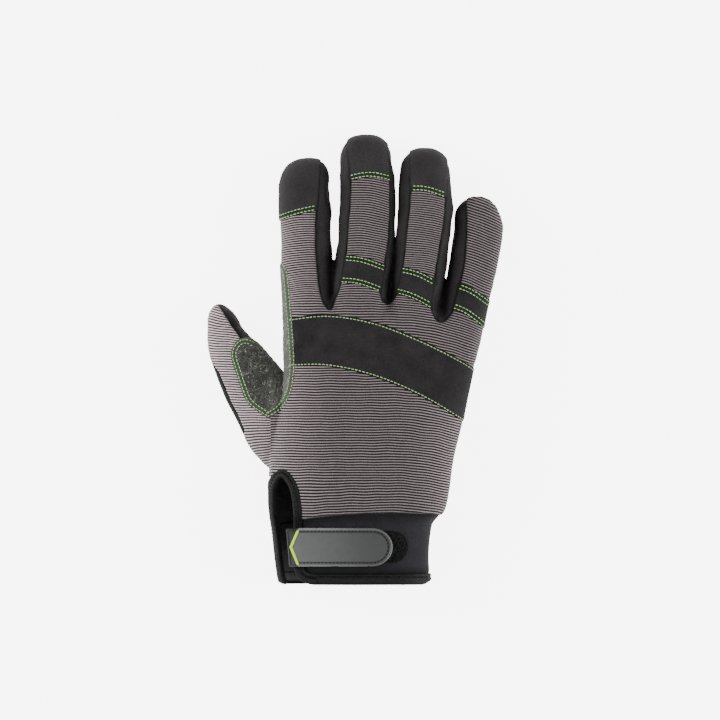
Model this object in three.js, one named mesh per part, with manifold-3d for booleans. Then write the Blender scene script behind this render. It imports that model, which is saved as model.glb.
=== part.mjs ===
// Right-hand work glove, lying palm down with the fingers pointing along +Y and the back of the hand up.
// Millimetres, +Z up. The origin is on the surface it lies on, under the middle of its outline.
// The glove is a hollow form, lofted through the sections below, and each cloth, leather and neoprene
// panel is the stretch of its wall inside that panel's outline, seen from above.
import * as THREE from "three";
import { mergeVertices } from "three/addons/utils/BufferGeometryUtils.js";
import Module from "manifold-3d";

const wasm = await Module();
wasm.setup();

// Driving dimensions
const WALL = 1.8; // shell cloth with its lining
const PATCH = 0.9; // a reinforcement sewn on the shell
const GAP = 0.3; // between neighbouring pieces
const SIDE_SEAM_Z = 10.5; // height of the seam between the palm leather and everything above it
const HEM_Y = -123.5; // open end of the cuff
const HEM_WIDTH = 6.2;
const CUFF_TOP_Y = -85.5; // seam between the cuff and the hand
const HEM_PROUD = 0.9; // how far the folded hem stands out of the cuff
const SLIT_BINDING = 4.6;
const SLIT_PROUD = 0.5;
const PATCH_FLOOR_Z = 0.4; // the crotch patch ends this far above the surface under the glove
const FAR = 400; // larger than the glove
const PAST_TIPS_Y = 130;

const HAND_SIDES = 30; // faces round the hand
const DIGIT_SIDES = 18; // faces round a finger
const INNER_SHARE = 0.6; // the inner surface has this share of the outer one's faces
const DOME_RINGS = 3;

// Sections of each tube: its left and right outermost points from above, and its lowest and highest z.
// power shapes the section: 2 is an ellipse and larger is squarer.
const HAND = {
  power: 2.8,
  sides: HAND_SIDES,
  sections: [
    { xl: -42, yl: HEM_Y, xr: 41, yr: HEM_Y, low: -0.8, top: 34 },
    { xl: -43.5, yl: -110, xr: 40.5, yr: -110, low: -0.8, top: 33 },
    { xl: -45.5, yl: -93.5, xr: 41.5, yr: -93.5, low: -0.8, top: 33.5 },
    { xl: -46.5, yl: -88, xr: 43.5, yr: -88, low: -0.8, top: 35 },
    { xl: -47.2, yl: -84, xr: 48, yr: -84, low: -1, top: 37.5 },
    { xl: -47.5, yl: -76, xr: 50.5, yr: -76, low: -1, top: 38.5 },
    { xl: -47, yl: -60, xr: 53, yr: -59, low: -1, top: 39.5 },
    { xl: -44.8, yl: -43, xr: 56, yr: -43, low: -1, top: 40.5 },
    { xl: -41, yl: -27, xr: 59.5, yr: -28, low: -0.8, top: 41 },
    { xl: -38.5, yl: -10, xr: 62.8, yr: -13, low: -0.5, top: 40.5 },
    { xl: -38.8, yl: 7, xr: 66, yr: 2, low: 0.2, top: 39 },
    { xl: -38.5, yl: 24, xr: 68.5, yr: 11, low: 1.5, top: 36 },
  ],
  end: { x: 13, y: 42, z: 11, power: 2 },
};

const FINGERS = {
  index: {
    power: 2.5,
    sides: DIGIT_SIDES,
    sections: [
      { xl: -38.3, yl: 8, xr: -11, yr: 8, low: 1.5, top: 36 },
      { xl: -39.5, yl: 33, xr: -12, yr: 33, low: 2.5, top: 33 },
      { xl: -40.3, yl: 54, xr: -12.8, yr: 54, low: 2, top: 28.5 },
      { xl: -41, yl: 74, xr: -13.6, yr: 74, low: 1, top: 25.5 },
      { xl: -41.6, yl: 95, xr: -15, yr: 97, low: -0.5, top: 22.5 },
    ],
    end: { x: -27, y: 110.9, z: 9, power: 2.5 },
  },
  middle: {
    power: 2.5,
    sides: DIGIT_SIDES,
    sections: [
      { xl: -12, yl: 8, xr: 19, yr: 8, low: 1.5, top: 38.5 },
      { xl: -13, yl: 33, xr: 18.5, yr: 33, low: 3, top: 36 },
      { xl: -11, yl: 57, xr: 20.8, yr: 57, low: 2.5, top: 30.5 },
      { xl: -9.1, yl: 76, xr: 22, yr: 76, low: 1.5, top: 27 },
      { xl: -8.5, yl: 94, xr: 21.2, yr: 94, low: 0.5, top: 24.5 },
      { xl: -8.5, yl: 109, xr: 19.6, yr: 109, low: -0.6, top: 22.5 },
    ],
    end: { x: 5.6, y: 123.5, z: 9, power: 2.5 },
  },
  ring: {
    power: 2.5,
    sides: DIGIT_SIDES,
    sections: [
      { xl: 17.5, yl: 7, xr: 44.5, yr: 5, low: 1.5, top: 37 },
      { xl: 19, yl: 33, xr: 46.5, yr: 31, low: 3, top: 34.5 },
      { xl: 21.4, yl: 57, xr: 50.2, yr: 55, low: 2.5, top: 29.5 },
      { xl: 23.4, yl: 77, xr: 53, yr: 76, low: 1.5, top: 26.5 },
      { xl: 24.6, yl: 94, xr: 52.2, yr: 93, low: 0.3, top: 24 },
      { xl: 25.2, yl: 103, xr: 51.4, yr: 102, low: -0.6, top: 22.5 },
    ],
    end: { x: 38.2, y: 116.3, z: 9, power: 2.5 },
  },
  little: {
    power: 2.5,
    sides: DIGIT_SIDES,
    sections: [
      { xl: 42.5, yl: 2, xr: 65.8, yr: -1, low: 1.5, top: 33.5 },
      { xl: 45.6, yl: 24, xr: 70.3, yr: 20, low: 3, top: 31.5 },
      { xl: 49.4, yl: 41, xr: 74.5, yr: 37, low: 2.5, top: 27.5 },
      { xl: 52, yl: 57, xr: 78, yr: 54, low: 1, top: 24.5 },
      { xl: 54, yl: 73, xr: 80.8, yr: 72, low: -0.6, top: 22 },
    ],
    end: { x: 67.5, y: 89.8, z: 9, power: 2.3 },
  },
};

const THUMB = {
  power: 2.3,
  sides: DIGIT_SIDES,
  sections: [
    { xl: -38, yl: -66, xr: -16, yr: -48, low: 3, top: 22 },
    { xl: -51.2, yl: -56, xr: -24, yr: -36, low: -0.4, top: 26 },
    { xl: -59.7, yl: -45, xr: -29, yr: -26, low: -0.8, top: 27 },
    { xl: -66, yl: -32, xr: -33.5, yr: -16.5, low: -0.8, top: 27 },
    { xl: -72.5, yl: -18.7, xr: -40, yr: -7.5, low: -0.8, top: 26.5 },
    { xl: -77.8, yl: -5.5, xr: -47.5, yr: 1, low: -0.8, top: 25.5 },
    { xl: -80.6, yl: 8, xr: -55.8, yr: 11, low: -0.8, top: 24 },
    { xl: -81.1, yl: 17.5, xr: -61.8, yr: 18.5, low: -0.6, top: 22 },
  ],
  end: { x: -75.3, y: 30.6, z: 9.5, power: 2.3 },
};

// Seams of the striped back, seen from above, from the slot between two fingers to the fingertip.
// The index finger's left side and the little finger's right side have none: the back wraps round them.
const SLOTS = {
  indexMiddle: { x: -14, y: 27.8 },
  middleRing: { x: 17.6, y: 31 },
  ringLittle: { x: 46.5, y: 20.8 },
};
const BACK_SEAMS = {
  indexRight: [
    { x: -18.4, y: 34 },
    { x: -20.6, y: 47 },
    { x: -21.8, y: 66 },
    { x: -21.2, y: 85 },
    { x: -19.5, y: 109 },
  ],
  middleLeft: [
    { x: -10.7, y: 34.7 },
    { x: -8.2, y: 42.4 },
    { x: -5.6, y: 56 },
    { x: -4.1, y: 74 },
    { x: -2.6, y: 98 },
    { x: -4.2, y: 119.5 },
  ],
  middleRight: [
    { x: 13.8, y: 36 },
    { x: 15.7, y: 50 },
    { x: 18.5, y: 70 },
    { x: 19, y: 96 },
    { x: 17.4, y: 112.5 },
  ],
  ringLeft: [
    { x: 23.6, y: 37 },
    { x: 26.2, y: 51 },
    { x: 28.3, y: 72.5 },
    { x: 30.3, y: 93 },
    { x: 30.2, y: 112.5 },
  ],
  ringRight: [
    { x: 41.8, y: 28 },
    { x: 43, y: 42 },
    { x: 46.2, y: 61 },
    { x: 49.2, y: 82 },
    { x: 50, y: 104 },
  ],
  littleLeft: [
    { x: 52.7, y: 26 },
    { x: 56.3, y: 38 },
    { x: 60, y: 55 },
    { x: 61, y: 75 },
    { x: 60.6, y: 87 },
  ],
};
// Crease between the hand's back and the thumb, from the crotch patch to the cuff slit
const THUMB_CREASE = [
  { x: -46.8, y: -32 },
  { x: -46.4, y: -48 },
  { x: -45.6, y: -64 },
];
// Seam between the thumb's striped back and its black inner side, which starts at the crease
const THUMB_SEAM = [
  { x: -52, y: -20 },
  { x: -58, y: -5 },
  { x: -62.8, y: 11 },
  { x: -68.5, y: 20 },
  { x: -75.3, y: 30.6 },
];
// Line up the crotch between the thumb and the index finger, and on between them
const CROTCH_LINE = [
  { x: -39.5, y: -9.5 },
  { x: -45, y: 5 },
  { x: -50, y: 14 },
  { x: -52, y: 60 },
];
const FOURCHETTES = [
  ["fourchette_index_middle", "indexMiddle", "indexRight", "middleLeft"],
  ["fourchette_middle_ring", "middleRing", "middleRight", "ringLeft"],
  ["fourchette_ring_little", "ringLittle", "ringRight", "littleLeft"],
];

// Outline of the suede patch in the crotch of the thumb: down the thumb, then up the index side
const PATCH_ON_THUMB = [
  { x: -55, y: 10 },
  { x: -59, y: 11.9 },
  { x: -64, y: 11.2 },
  { x: -67.6, y: 7 },
  { x: -68.4, y: 2 },
  { x: -66.3, y: -5.5 },
  { x: -61.3, y: -20 },
  { x: -57.5, y: -25.5 },
  { x: -48, y: -32 },
];
const PATCH_ON_INDEX = [
  { x: -42, y: -28.4 },
  { x: -37.5, y: -23 },
  { x: -34.3, y: -15 },
  { x: -33, y: -3 },
  { x: -33.7, y: 12.7 },
  { x: -35.1, y: 29.7 },
  { x: -36.8, y: 47 },
  { x: -39.5, y: 53 },
];
// Open ground between the thumb and the index finger, which closes the patch's outline
const CROTCH_SPACE = [
  { x: -50, y: 55 },
  { x: -50, y: 14 },
];

// Upper and lower edges of the pieces sewn across the back, each from left to right
const KNUCKLE_STRAP = {
  upper: [
    { x: -33.8, y: 23.4 },
    { x: -15, y: 25 },
    { x: 10, y: 21 },
    { x: 35.5, y: 11.3 },
    { x: 58, y: 0 },
    { x: 72, y: -9 },
  ],
  lower: [
    { x: -32.4, y: -3.6 },
    { x: -15, y: -3.8 },
    { x: 10, y: -9.3 },
    { x: 35.5, y: -20 },
    { x: 58, y: -33.3 },
    { x: 70, y: -41 },
  ],
};
const FINGER_BANDS = {
  middle: {
    upper: [{ x: -9, y: 58 }, { x: 4, y: 56.6 }, { x: 20, y: 51 }],
    lower: [{ x: -11, y: 42.2 }, { x: 2, y: 41 }, { x: 17, y: 35.6 }],
  },
  ring: {
    upper: [{ x: 22.5, y: 51.9 }, { x: 35, y: 48.8 }, { x: 48, y: 42 }],
    lower: [{ x: 18.5, y: 37 }, { x: 31, y: 33.4 }, { x: 45.5, y: 25.6 }],
  },
  little: {
    upper: [{ x: 54, y: 43.4 }, { x: 65, y: 39 }, { x: 80, y: 28.5 }],
    lower: [{ x: 50, y: 29 }, { x: 61, y: 24.4 }, { x: 76, y: 12.6 }],
  },
};
const FINGER_CAPS = {
  index: [{ x: -46, y: 75 }, { x: -32, y: 79.6 }, { x: -18, y: 82.6 }],
  middle: [{ x: -6, y: 97.8 }, { x: 8, y: 100.2 }, { x: 22, y: 97.4 }],
  ring: [{ x: 27, y: 92.6 }, { x: 39, y: 92.2 }, { x: 53, y: 87.4 }],
};

// The open slit at the wrist, which the closure strap crosses
const SLIT = [
  { x: -41, y: -62.5 },
  { x: -37.7, y: -66 },
  { x: -35.2, y: -74.5 },
  { x: -34, y: -88 },
  { x: -34.4, y: -112 },
  { x: -31.6, y: -120 },
  { x: -31, y: -130 },
  { x: -38, y: -130 },
  { x: -40, y: -118 },
  { x: -42.2, y: -101 },
  { x: -44.2, y: -85 },
  { x: -44.6, y: -70 },
];
// Wrist closure: each piece is a tongue over the cuff, between two heights above the form.
const CLOSURE_Y = -102.6;
const CLOSURE = [
  ["loop_pad", "loops", { left: -8, right: 28.5, y: CLOSURE_Y, height: 17.5, from: 0.3, to: 1.2 }],
  ["closure_strap", "binding", { left: -41, right: 17, y: CLOSURE_Y, height: 18, from: 1.5, to: 2.6 }],
  ["closure_tab", "rubber", { left: -38, right: 20, y: CLOSURE_Y, height: 21.6, from: 2.9, to: 4.7 }],
];
const CHEVRON = { tip: -36, back: -31.5, width: 1.5, y: CLOSURE_Y, height: 20.4, from: 5, to: 5.6 };

const MATERIALS = {
  stripes: { color: 0x8b8283, roughness: 0.95, metalness: 0 },
  leather: { color: 0x252425, roughness: 0.72, metalness: 0 },
  stretch: { color: 0x1d1c1d, roughness: 0.8, metalness: 0 },
  suede: { color: 0x5a5c58, roughness: 1, metalness: 0 },
  neoprene: { color: 0x28272c, roughness: 0.88, metalness: 0 },
  binding: { color: 0x1b1a1b, roughness: 0.6, metalness: 0 },
  loops: { color: 0x111211, roughness: 1, metalness: 0 },
  rubber: { color: 0x626564, roughness: 0.55, metalness: 0 },
  lime: { color: 0xc8e84a, roughness: 0.5, metalness: 0 },
};

// A closed three.js geometry as a solid that can be cut and joined.
function solid(geometry) {
  const bare = new THREE.BufferGeometry();
  bare.setAttribute("position", geometry.getAttribute("position"));
  if (geometry.index) bare.setIndex(geometry.index);
  const merged = mergeVertices(bare, 1e-4);
  return new wasm.Manifold(
    new wasm.Mesh({
      numProp: 3,
      vertProperties: merged.attributes.position.array,
      triVerts: new Uint32Array(merged.index.array),
    }),
  );
}

// Everything between two heights inside an outline seen from above.
function prism(outline, low = -FAR, high = FAR) {
  const shape = new THREE.Shape(outline.map((p) => new THREE.Vector2(p.x, p.y)));
  const geometry = new THREE.ExtrudeGeometry(shape, { depth: high - low, bevelEnabled: false });
  return solid(geometry.translate(0, 0, low));
}

// A rectangular block of space between two corners.
function block(low, high) {
  const size = high.map((value, axis) => value - low[axis]);
  const centre = low.map((value, axis) => value + size[axis] / 2);
  return solid(new THREE.BoxGeometry(...size).translate(...centre));
}
const above = (z) => block([-FAR, -FAR, z], [FAR, FAR, FAR]);
const below = (z) => block([-FAR, -FAR, -FAR], [FAR, FAR, z]);
const pastY = (y) => block([-FAR, y, -FAR], [FAR, FAR, FAR]);
const beforeY = (y) => block([-FAR, -FAR, -FAR], [FAR, y, FAR]);

// The same outline with each edge moved out by a distance.
function grown(outline, distance) {
  const turn = THREE.ShapeUtils.isClockWise(outline) ? -1 : 1;
  return outline.map((p, i) => {
    const before = outline[(i + outline.length - 1) % outline.length];
    const after = outline[(i + 1) % outline.length];
    const a = new THREE.Vector2(p.y - before.y, before.x - p.x).normalize();
    const b = new THREE.Vector2(after.y - p.y, p.x - after.x).normalize();
    const corner = a.clone().add(b).normalize();
    const reach = (turn * distance) / Math.max(corner.dot(a), 0.5);
    return { x: p.x + corner.x * reach, y: p.y + corner.y * reach };
  });
}

// Points along a smooth line through the given ones.
function smooth(points, count) {
  const curve = new THREE.SplineCurve(points.map((p) => new THREE.Vector2(p.x, p.y)));
  return curve.getPoints(count);
}

// One ring of a tube. scale shrinks it about its own centre, as a dome's rings are.
function ring(section, power, sides, offset, scale = 1, shift = new THREE.Vector3()) {
  const left = new THREE.Vector3(section.xl, section.yl, 0);
  const right = new THREE.Vector3(section.xr, section.yr, 0);
  const across = right.clone().sub(left);
  const halfWidth = (across.length() / 2 + offset) * scale;
  const halfHeight = ((section.top - section.low) / 2 + offset) * scale;
  const centre = left.add(right).multiplyScalar(0.5).add(shift);
  centre.z += (section.top + section.low) / 2;
  across.normalize();
  const squarer = (value) => Math.sign(value) * Math.abs(value) ** (2 / power);
  return Array.from({ length: sides }, (_, k) => {
    const angle = (2 * Math.PI * (k + 0.5)) / sides;
    const point = centre.clone().addScaledVector(across, halfWidth * squarer(Math.cos(angle)));
    point.z += halfHeight * squarer(Math.sin(angle));
    return point;
  });
}

// A closed tube through its sections, with a domed far end. offset moves its surface out or in,
// and openReach carries its near end on past the first section.
function tube(form, offset, openReach = 0) {
  const { sections, end, power } = form;
  const sides = offset < 0 ? Math.round(form.sides * INNER_SHARE) : form.sides;
  const first = { ...sections[0] };
  first.yl -= openReach;
  first.yr -= openReach;
  const rings = [first, ...sections.slice(openReach > 0 ? 0 : 1)].map((section) =>
    ring(section, power, sides, offset),
  );
  const last = sections[sections.length - 1];
  const base = new THREE.Vector3(
    (last.xl + last.xr) / 2,
    (last.yl + last.yr) / 2,
    (last.low + last.top) / 2,
  );
  const axis = new THREE.Vector3(end.x, end.y, end.z).sub(base);
  axis.setLength(axis.length() + offset);
  for (let k = 1; k <= DOME_RINGS; k++) {
    const angle = (Math.PI / 2) * (k / (DOME_RINGS + 0.5));
    const along = axis.clone().multiplyScalar(Math.sin(angle) ** (2 / end.power));
    rings.push(ring(last, power, sides, offset, Math.cos(angle) ** (2 / end.power), along));
  }
  return skin(rings, base.add(axis));
}

// The closed surface through a list of rings, fanned shut at the start and drawn to a point at the end.
function skin(rings, tip) {
  const sides = rings[0].length;
  const start = rings[0].reduce((sum, p) => sum.add(p), new THREE.Vector3()).divideScalar(sides);
  const points = [start, ...rings.flat(), tip];
  const at = (r, k) => 1 + r * sides + (k % sides);
  const faces = [];
  for (let k = 0; k < sides; k++) {
    faces.push(0, at(0, k), at(0, k + 1));
    faces.push(points.length - 1, at(rings.length - 1, k + 1), at(rings.length - 1, k));
    for (let r = 0; r + 1 < rings.length; r++) {
      faces.push(at(r, k), at(r + 1, k + 1), at(r, k + 1));
      faces.push(at(r, k), at(r + 1, k), at(r + 1, k + 1));
    }
  }
  const geometry = new THREE.BufferGeometry().setFromPoints(points);
  geometry.setIndex(faces);
  return solid(geometry);
}

// The whole glove as one solid, offset from its outer surface and cut flat at a height.
const formCache = new Map();
function form(offset, floor = 0, openReach = 0) {
  const key = [offset, floor, openReach].join();
  if (!formCache.has(key)) {
    let whole = tube(HAND, offset, openReach);
    for (const digit of [...Object.values(FINGERS), THUMB]) whole = whole.add(tube(digit, offset));
    formCache.set(key, whole.intersect(above(floor)));
  }
  return formCache.get(key);
}

// The glove's own wall, flat where the glove rests. Its hollow runs on out through the open hem.
const wall = (proud = 0) => form(proud).subtract(form(-WALL, WALL, 2));

// A piece laid over the wall, between two heights above it.
const layer = (from, to) => form(to).subtract(form(from));

// A panel's outline, drawn in by half the gap that it keeps to its neighbours.
const cut = (outline, low, high) => prism(grown(outline, -GAP / 2), low, high);

// Corners past a fingertip, so that an outline runs off the end of the finger.
function pastTip(name) {
  const left = BACK_SEAMS[name + "Left"]?.at(-1).x ?? -60;
  const right = BACK_SEAMS[name + "Right"]?.at(-1).x ?? 100;
  return [left, right].map((x) => ({ x, y: PAST_TIPS_Y }));
}

// The striped back of the hand with its four fingers.
function backOutline() {
  const seams = BACK_SEAMS;
  return [
    { x: -36, y: CUFF_TOP_Y },
    { x: -36, y: -66 },
    ...[...THUMB_CREASE].reverse(),
    ...CROTCH_LINE,
    ...pastTip("index"),
    ...[...seams.indexRight].reverse(),
    SLOTS.indexMiddle,
    ...seams.middleLeft,
    ...pastTip("middle"),
    ...[...seams.middleRight].reverse(),
    SLOTS.middleRing,
    ...seams.ringLeft,
    ...pastTip("ring"),
    ...[...seams.ringRight].reverse(),
    SLOTS.ringLittle,
    ...seams.littleLeft,
    ...pastTip("little"),
    { x: 100, y: CUFF_TOP_Y },
  ];
}

// The black side walls of two neighbouring fingers, joined at the slot between them.
function fourchetteOutline(slot, leftSeam, rightSeam) {
  return [
    SLOTS[slot],
    ...BACK_SEAMS[leftSeam],
    { x: BACK_SEAMS[leftSeam].at(-1).x, y: PAST_TIPS_Y },
    { x: BACK_SEAMS[rightSeam].at(-1).x, y: PAST_TIPS_Y },
    ...[...BACK_SEAMS[rightSeam]].reverse(),
  ];
}

// The thumb's striped back, and the black strip between it and the crotch.
const thumbBackOutline = [
  { x: -110, y: -64 },
  ...[...THUMB_CREASE].reverse(),
  ...THUMB_SEAM,
  { x: -80, y: 50 },
  { x: -110, y: 50 },
];
const thumbInnerOutline = [
  ...THUMB_SEAM,
  { x: -80, y: 50 },
  ...[...CROTCH_LINE].reverse(),
  THUMB_CREASE[0],
];
const patchOutline = [...PATCH_ON_THUMB, ...PATCH_ON_INDEX, ...CROTCH_SPACE];

// A strip between two smooth edges.
function strip({ upper, lower }, count = 8) {
  return [...smooth(upper, count), ...smooth(lower, count).reverse()];
}

// A strip of cloth with a square left end and a round right one.
function tongue({ left, right, y, height }) {
  const radius = height / 2;
  const steps = 10;
  const arc = Array.from({ length: steps + 1 }, (_, k) => {
    const angle = Math.PI * (k / steps - 0.5);
    return { x: right - radius + radius * Math.cos(angle), y: y + radius * Math.sin(angle) };
  });
  return [{ x: left, y: y - radius }, ...arc, { x: left, y: y + radius }];
}

// The V-shaped accent line across the tab, its point to the left.
function chevronOutline({ tip, back, width, y, height }) {
  return [
    { x: back, y: y - height / 2 },
    { x: back + width, y: y - height / 2 },
    { x: tip + width, y },
    { x: back + width, y: y + height / 2 },
    { x: back, y: y + height / 2 },
    { x: tip, y },
  ];
}

function mesh(name, material, made) {
  const { vertProperties, triVerts, numProp } = made.getMesh();
  const geometry = new THREE.BufferGeometry();
  const count = vertProperties.length / numProp;
  const positions = new Float32Array(count * 3);
  for (let i = 0; i < count; i++) {
    positions.set(vertProperties.subarray(i * numProp, i * numProp + 3), i * 3);
  }
  geometry.setAttribute("position", new THREE.BufferAttribute(positions, 3));
  geometry.setIndex(new THREE.BufferAttribute(triVerts, 1));
  geometry.computeVertexNormals();
  const piece = new THREE.Mesh(geometry, new THREE.MeshStandardMaterial(MATERIALS[material]));
  piece.name = name;
  return piece;
}

const glove = new THREE.Group();
glove.name = "work_glove";
const add = (name, material, made) => glove.add(mesh(name, material, made));

// The shell: striped back, black palm and finger sides
const hand = wall().intersect(pastY(CUFF_TOP_Y + GAP / 2));
const slitRoom = prism(grown(SLIT, SLIT_BINDING + GAP), SIDE_SEAM_Z - GAP / 2);
const backs = hand.intersect(above(SIDE_SEAM_Z + GAP / 2)).subtract(slitRoom);
const backArea = cut(backOutline());
add("back_panel", "stripes", backs.intersect(backArea));
add("thumb_back", "stripes", backs.intersect(cut(thumbBackOutline)));
add("thumb_inner_panel", "stretch", backs.intersect(cut(thumbInnerOutline)));
add("palm_panel", "leather", hand.intersect(below(SIDE_SEAM_Z - GAP / 2)));
for (const [name, slot, leftSeam, rightSeam] of FOURCHETTES) {
  add(name, "stretch", backs.intersect(cut(fourchetteOutline(slot, leftSeam, rightSeam))));
}

// Pieces sewn over the shell
const patchArea = prism(patchOutline, PATCH_FLOOR_Z);
const sewnOn = layer(GAP, GAP + PATCH);
add("crotch_patch", "suede", sewnOn.intersect(patchArea));
const overlay = (outline) => sewnOn.intersect(cut(outline, SIDE_SEAM_Z + GAP));
const besidePatch = backArea.subtract(prism(grown(patchOutline, GAP)));
add("knuckle_strap", "stretch", overlay(strip(KNUCKLE_STRAP)).intersect(besidePatch));
for (const [finger, edges] of Object.entries(FINGER_BANDS)) {
  add(`knuckle_band_${finger}`, "stretch", overlay(strip(edges)).intersect(backArea));
}
for (const [finger, edge] of Object.entries(FINGER_CAPS)) {
  const area = [...smooth(edge, 4), ...pastTip(finger).reverse()];
  add(`fingertip_cap_${finger}`, "stretch", overlay(area).intersect(backArea));
}

// The cuff with its hem and the bound slit
const cuff = wall().intersect(beforeY(CUFF_TOP_Y - GAP / 2)).subtract(slitRoom);
add("cuff", "neoprene", cuff.intersect(pastY(HEM_Y + HEM_WIDTH + GAP)));
const hem = wall(HEM_PROUD).intersect(beforeY(HEM_Y + HEM_WIDTH)).subtract(slitRoom);
add("cuff_hem", "binding", hem);
const bindingArea = prism(grown(SLIT, SLIT_BINDING), SIDE_SEAM_Z).subtract(prism(SLIT));
add("slit_binding", "binding", wall(SLIT_PROUD).intersect(bindingArea));

// The closure: a pad of loops on the cuff, and the strap with its moulded tab across the slit
for (const [name, material, piece] of CLOSURE) {
  const area = prism(tongue(piece), SIDE_SEAM_Z);
  add(name, material, layer(piece.from, piece.to).intersect(area));
}
const chevron = prism(chevronOutline(CHEVRON), SIDE_SEAM_Z);
add("tab_chevron", "lime", layer(CHEVRON.from, CHEVRON.to).intersect(chevron));

// The middle of the outline comes over the origin
const outline = new THREE.Box3().setFromObject(glove);
const middle = outline.getCenter(new THREE.Vector3());
glove.position.set(-middle.x, -middle.y, 0);

export default glove;
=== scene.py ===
"""A work glove lying palm down, sewn piece by piece over its solid model.

Every table is in millimetres, in the frame of the solids' own drawing. SHIFT carries it over to the
row frame. A sewn piece is cut from one smooth form of the glove: its outline is drawn from above,
its own height over the form gives it its place in the layers, and its edges dive into the seams.
"""

import logging
import math
from dataclasses import dataclass, field
from enum import Enum
from typing import Callable, Sequence

import bpy
import numpy as np
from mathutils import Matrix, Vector
from mathutils.bvhtree import BVHTree

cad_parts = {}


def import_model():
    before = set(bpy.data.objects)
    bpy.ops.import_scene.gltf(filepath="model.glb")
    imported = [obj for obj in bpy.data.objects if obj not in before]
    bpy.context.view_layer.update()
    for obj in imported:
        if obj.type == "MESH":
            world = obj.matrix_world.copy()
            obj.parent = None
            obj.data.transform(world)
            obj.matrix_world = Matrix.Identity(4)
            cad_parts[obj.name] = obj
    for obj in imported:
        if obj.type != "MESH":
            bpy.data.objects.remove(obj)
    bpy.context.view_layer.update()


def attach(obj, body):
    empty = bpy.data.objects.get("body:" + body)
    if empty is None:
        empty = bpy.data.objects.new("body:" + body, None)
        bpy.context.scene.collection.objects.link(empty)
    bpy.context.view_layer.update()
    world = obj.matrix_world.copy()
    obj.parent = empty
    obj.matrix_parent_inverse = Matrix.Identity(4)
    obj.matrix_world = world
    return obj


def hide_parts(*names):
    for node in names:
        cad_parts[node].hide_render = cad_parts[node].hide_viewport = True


LOG = logging.getLogger("glove")

MM = 0.001
SHIFT = np.array([0.685, -0.515, 0.0])

SIDE_SEAM_Z = 10.5  # seam between the palm leather and everything above it
CUFF_TOP_Y = -85.5
HEM_Y = -123.5  # open end of the cuff
HEM_WIDTH = 6.2
SLIT_BINDING = 4.6
BINDING_LAP = 0.6  # the striped cloth runs in under the slit's binding this far
BINDING_END_X = -21.0
PAST_TIPS_Y = 130.0  # outlines of the fingers run past the tips to here
CLOSURE_Y = -102.6
CLEAR = 50.0  # a distance that counts as far from every edge
RUN_ON = 9.0  # added to the edge's distance where cloth runs on without a seam

Point2 = tuple[float, float]
Row = tuple[float, ...]
Colour = tuple[float, float, float]

SLOTS: dict[str, Point2] = {
    "index_middle": (-14.0, 27.8),
    "middle_ring": (17.6, 31.0),
    "ring_little": (46.5, 20.8),
}
SEAMS: dict[str, tuple[Point2, ...]] = {
    "index_right": ((-18.4, 34), (-20.6, 47), (-21.8, 66), (-21.2, 85), (-19.5, 109)),
    "middle_left": ((-10.7, 34.7), (-8.2, 42.4), (-5.6, 56), (-4.1, 74), (-2.6, 98), (-4.2, 119.5)),
    "middle_right": ((13.8, 36), (15.7, 50), (18.5, 70), (19, 96), (17.4, 112.5)),
    "ring_left": ((22.6, 36.6), (25.8, 51), (28.3, 72.5), (30.3, 93), (30.2, 112.5)),
    "ring_right": ((41.8, 28), (43, 42), (46.2, 61), (49.2, 82), (50, 104)),
    "little_left": ((52.7, 26), (56.3, 38), (60, 55), (61, 75), (60.6, 87)),
}
THUMB_CREASE = ((-46.8, -32), (-46.4, -48), (-45.6, -64))
THUMB_SEAM = ((-52, -20), (-58, -5), (-62.8, 11), (-68.5, 20), (-75.3, 30.6))
CROTCH_LINE = ((-39.5, -9.5), (-45, 5), (-50, 14), (-52, 60))
PATCH_ON_THUMB = (
    (-55, 10), (-59, 11.9), (-64, 11.2), (-67.6, 7), (-68.4, 2), (-66.3, -5.5), (-61.3, -20),
    (-57.5, -25.5), (-48, -32),
)
PATCH_ON_INDEX = (
    (-48, -32), (-42, -28.4), (-37.5, -23), (-34.3, -15), (-33, -3), (-33.7, 12.7), (-35.1, 29.7),
    (-36.8, 47), (-39.5, 53),
)
CROTCH_SPACE = ((-50, 55), (-50, 14))
# The thumb's outer border as y and x, and how far the side seam rises there to show the leather
THUMB_BORDER = (
    (-62, -45), (-56, -51), (-45, -59.7), (-32, -66), (-18.7, -72.5), (-5.5, -77.8), (17.5, -81),
)
THUMB_SEAM_RISE = 9.6
# The line under the knuckle strap where the back's cloth is cut in two
BACK_SPLIT = ((-60, 10), (-15, 10), (10, 6), (35.5, -4), (58, -17), (90, -30))
SLIT = (
    (-37.2, -134), (-38, -126), (-40, -118), (-42.2, -101), (-44.2, -85), (-44.6, -72),
    (-41, -64.8), (-37.6, -68), (-35.2, -74.5), (-34, -88), (-34.6, -104), (-34.2, -113),
    (-32.4, -118.4), (-29.2, -121.7), (-25, -123.2), (-21, -123.5), (-14, -123.5), (-8, -134),
)


def along(points: Sequence[Row], per_gap: int = 8) -> np.ndarray:
    """Points on a smooth line through the given rows.

    Args:
        points: Rows that the line passes through, with any number of columns.
        per_gap: Steps from one row to the next.

    Returns:
        The rows of the line, the first and last given ones among them.
    """
    rows = np.array(points, dtype=float)
    rows = np.vstack([2 * rows[0] - rows[1], rows, 2 * rows[-1] - rows[-2]])
    made = []
    for k in range(1, len(rows) - 2):
        before, start, end, after = rows[k - 1 : k + 3]
        for step in range(per_gap):
            t = step / per_gap
            made.append(
                0.5
                * (
                    2 * start
                    + (end - before) * t
                    + (2 * before - 5 * start + 4 * end - after) * t**2
                    + (3 * start - before - 3 * end + after) * t**3
                )
            )
    made.append(rows[-2])
    return np.array(made)


def reach(value: np.ndarray, start: float, end: float) -> np.ndarray:
    """A smooth step from 0 at start to 1 at end."""
    t = np.clip((value - start) / (end - start), 0, 1)
    return t * t * (3 - 2 * t)


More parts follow.
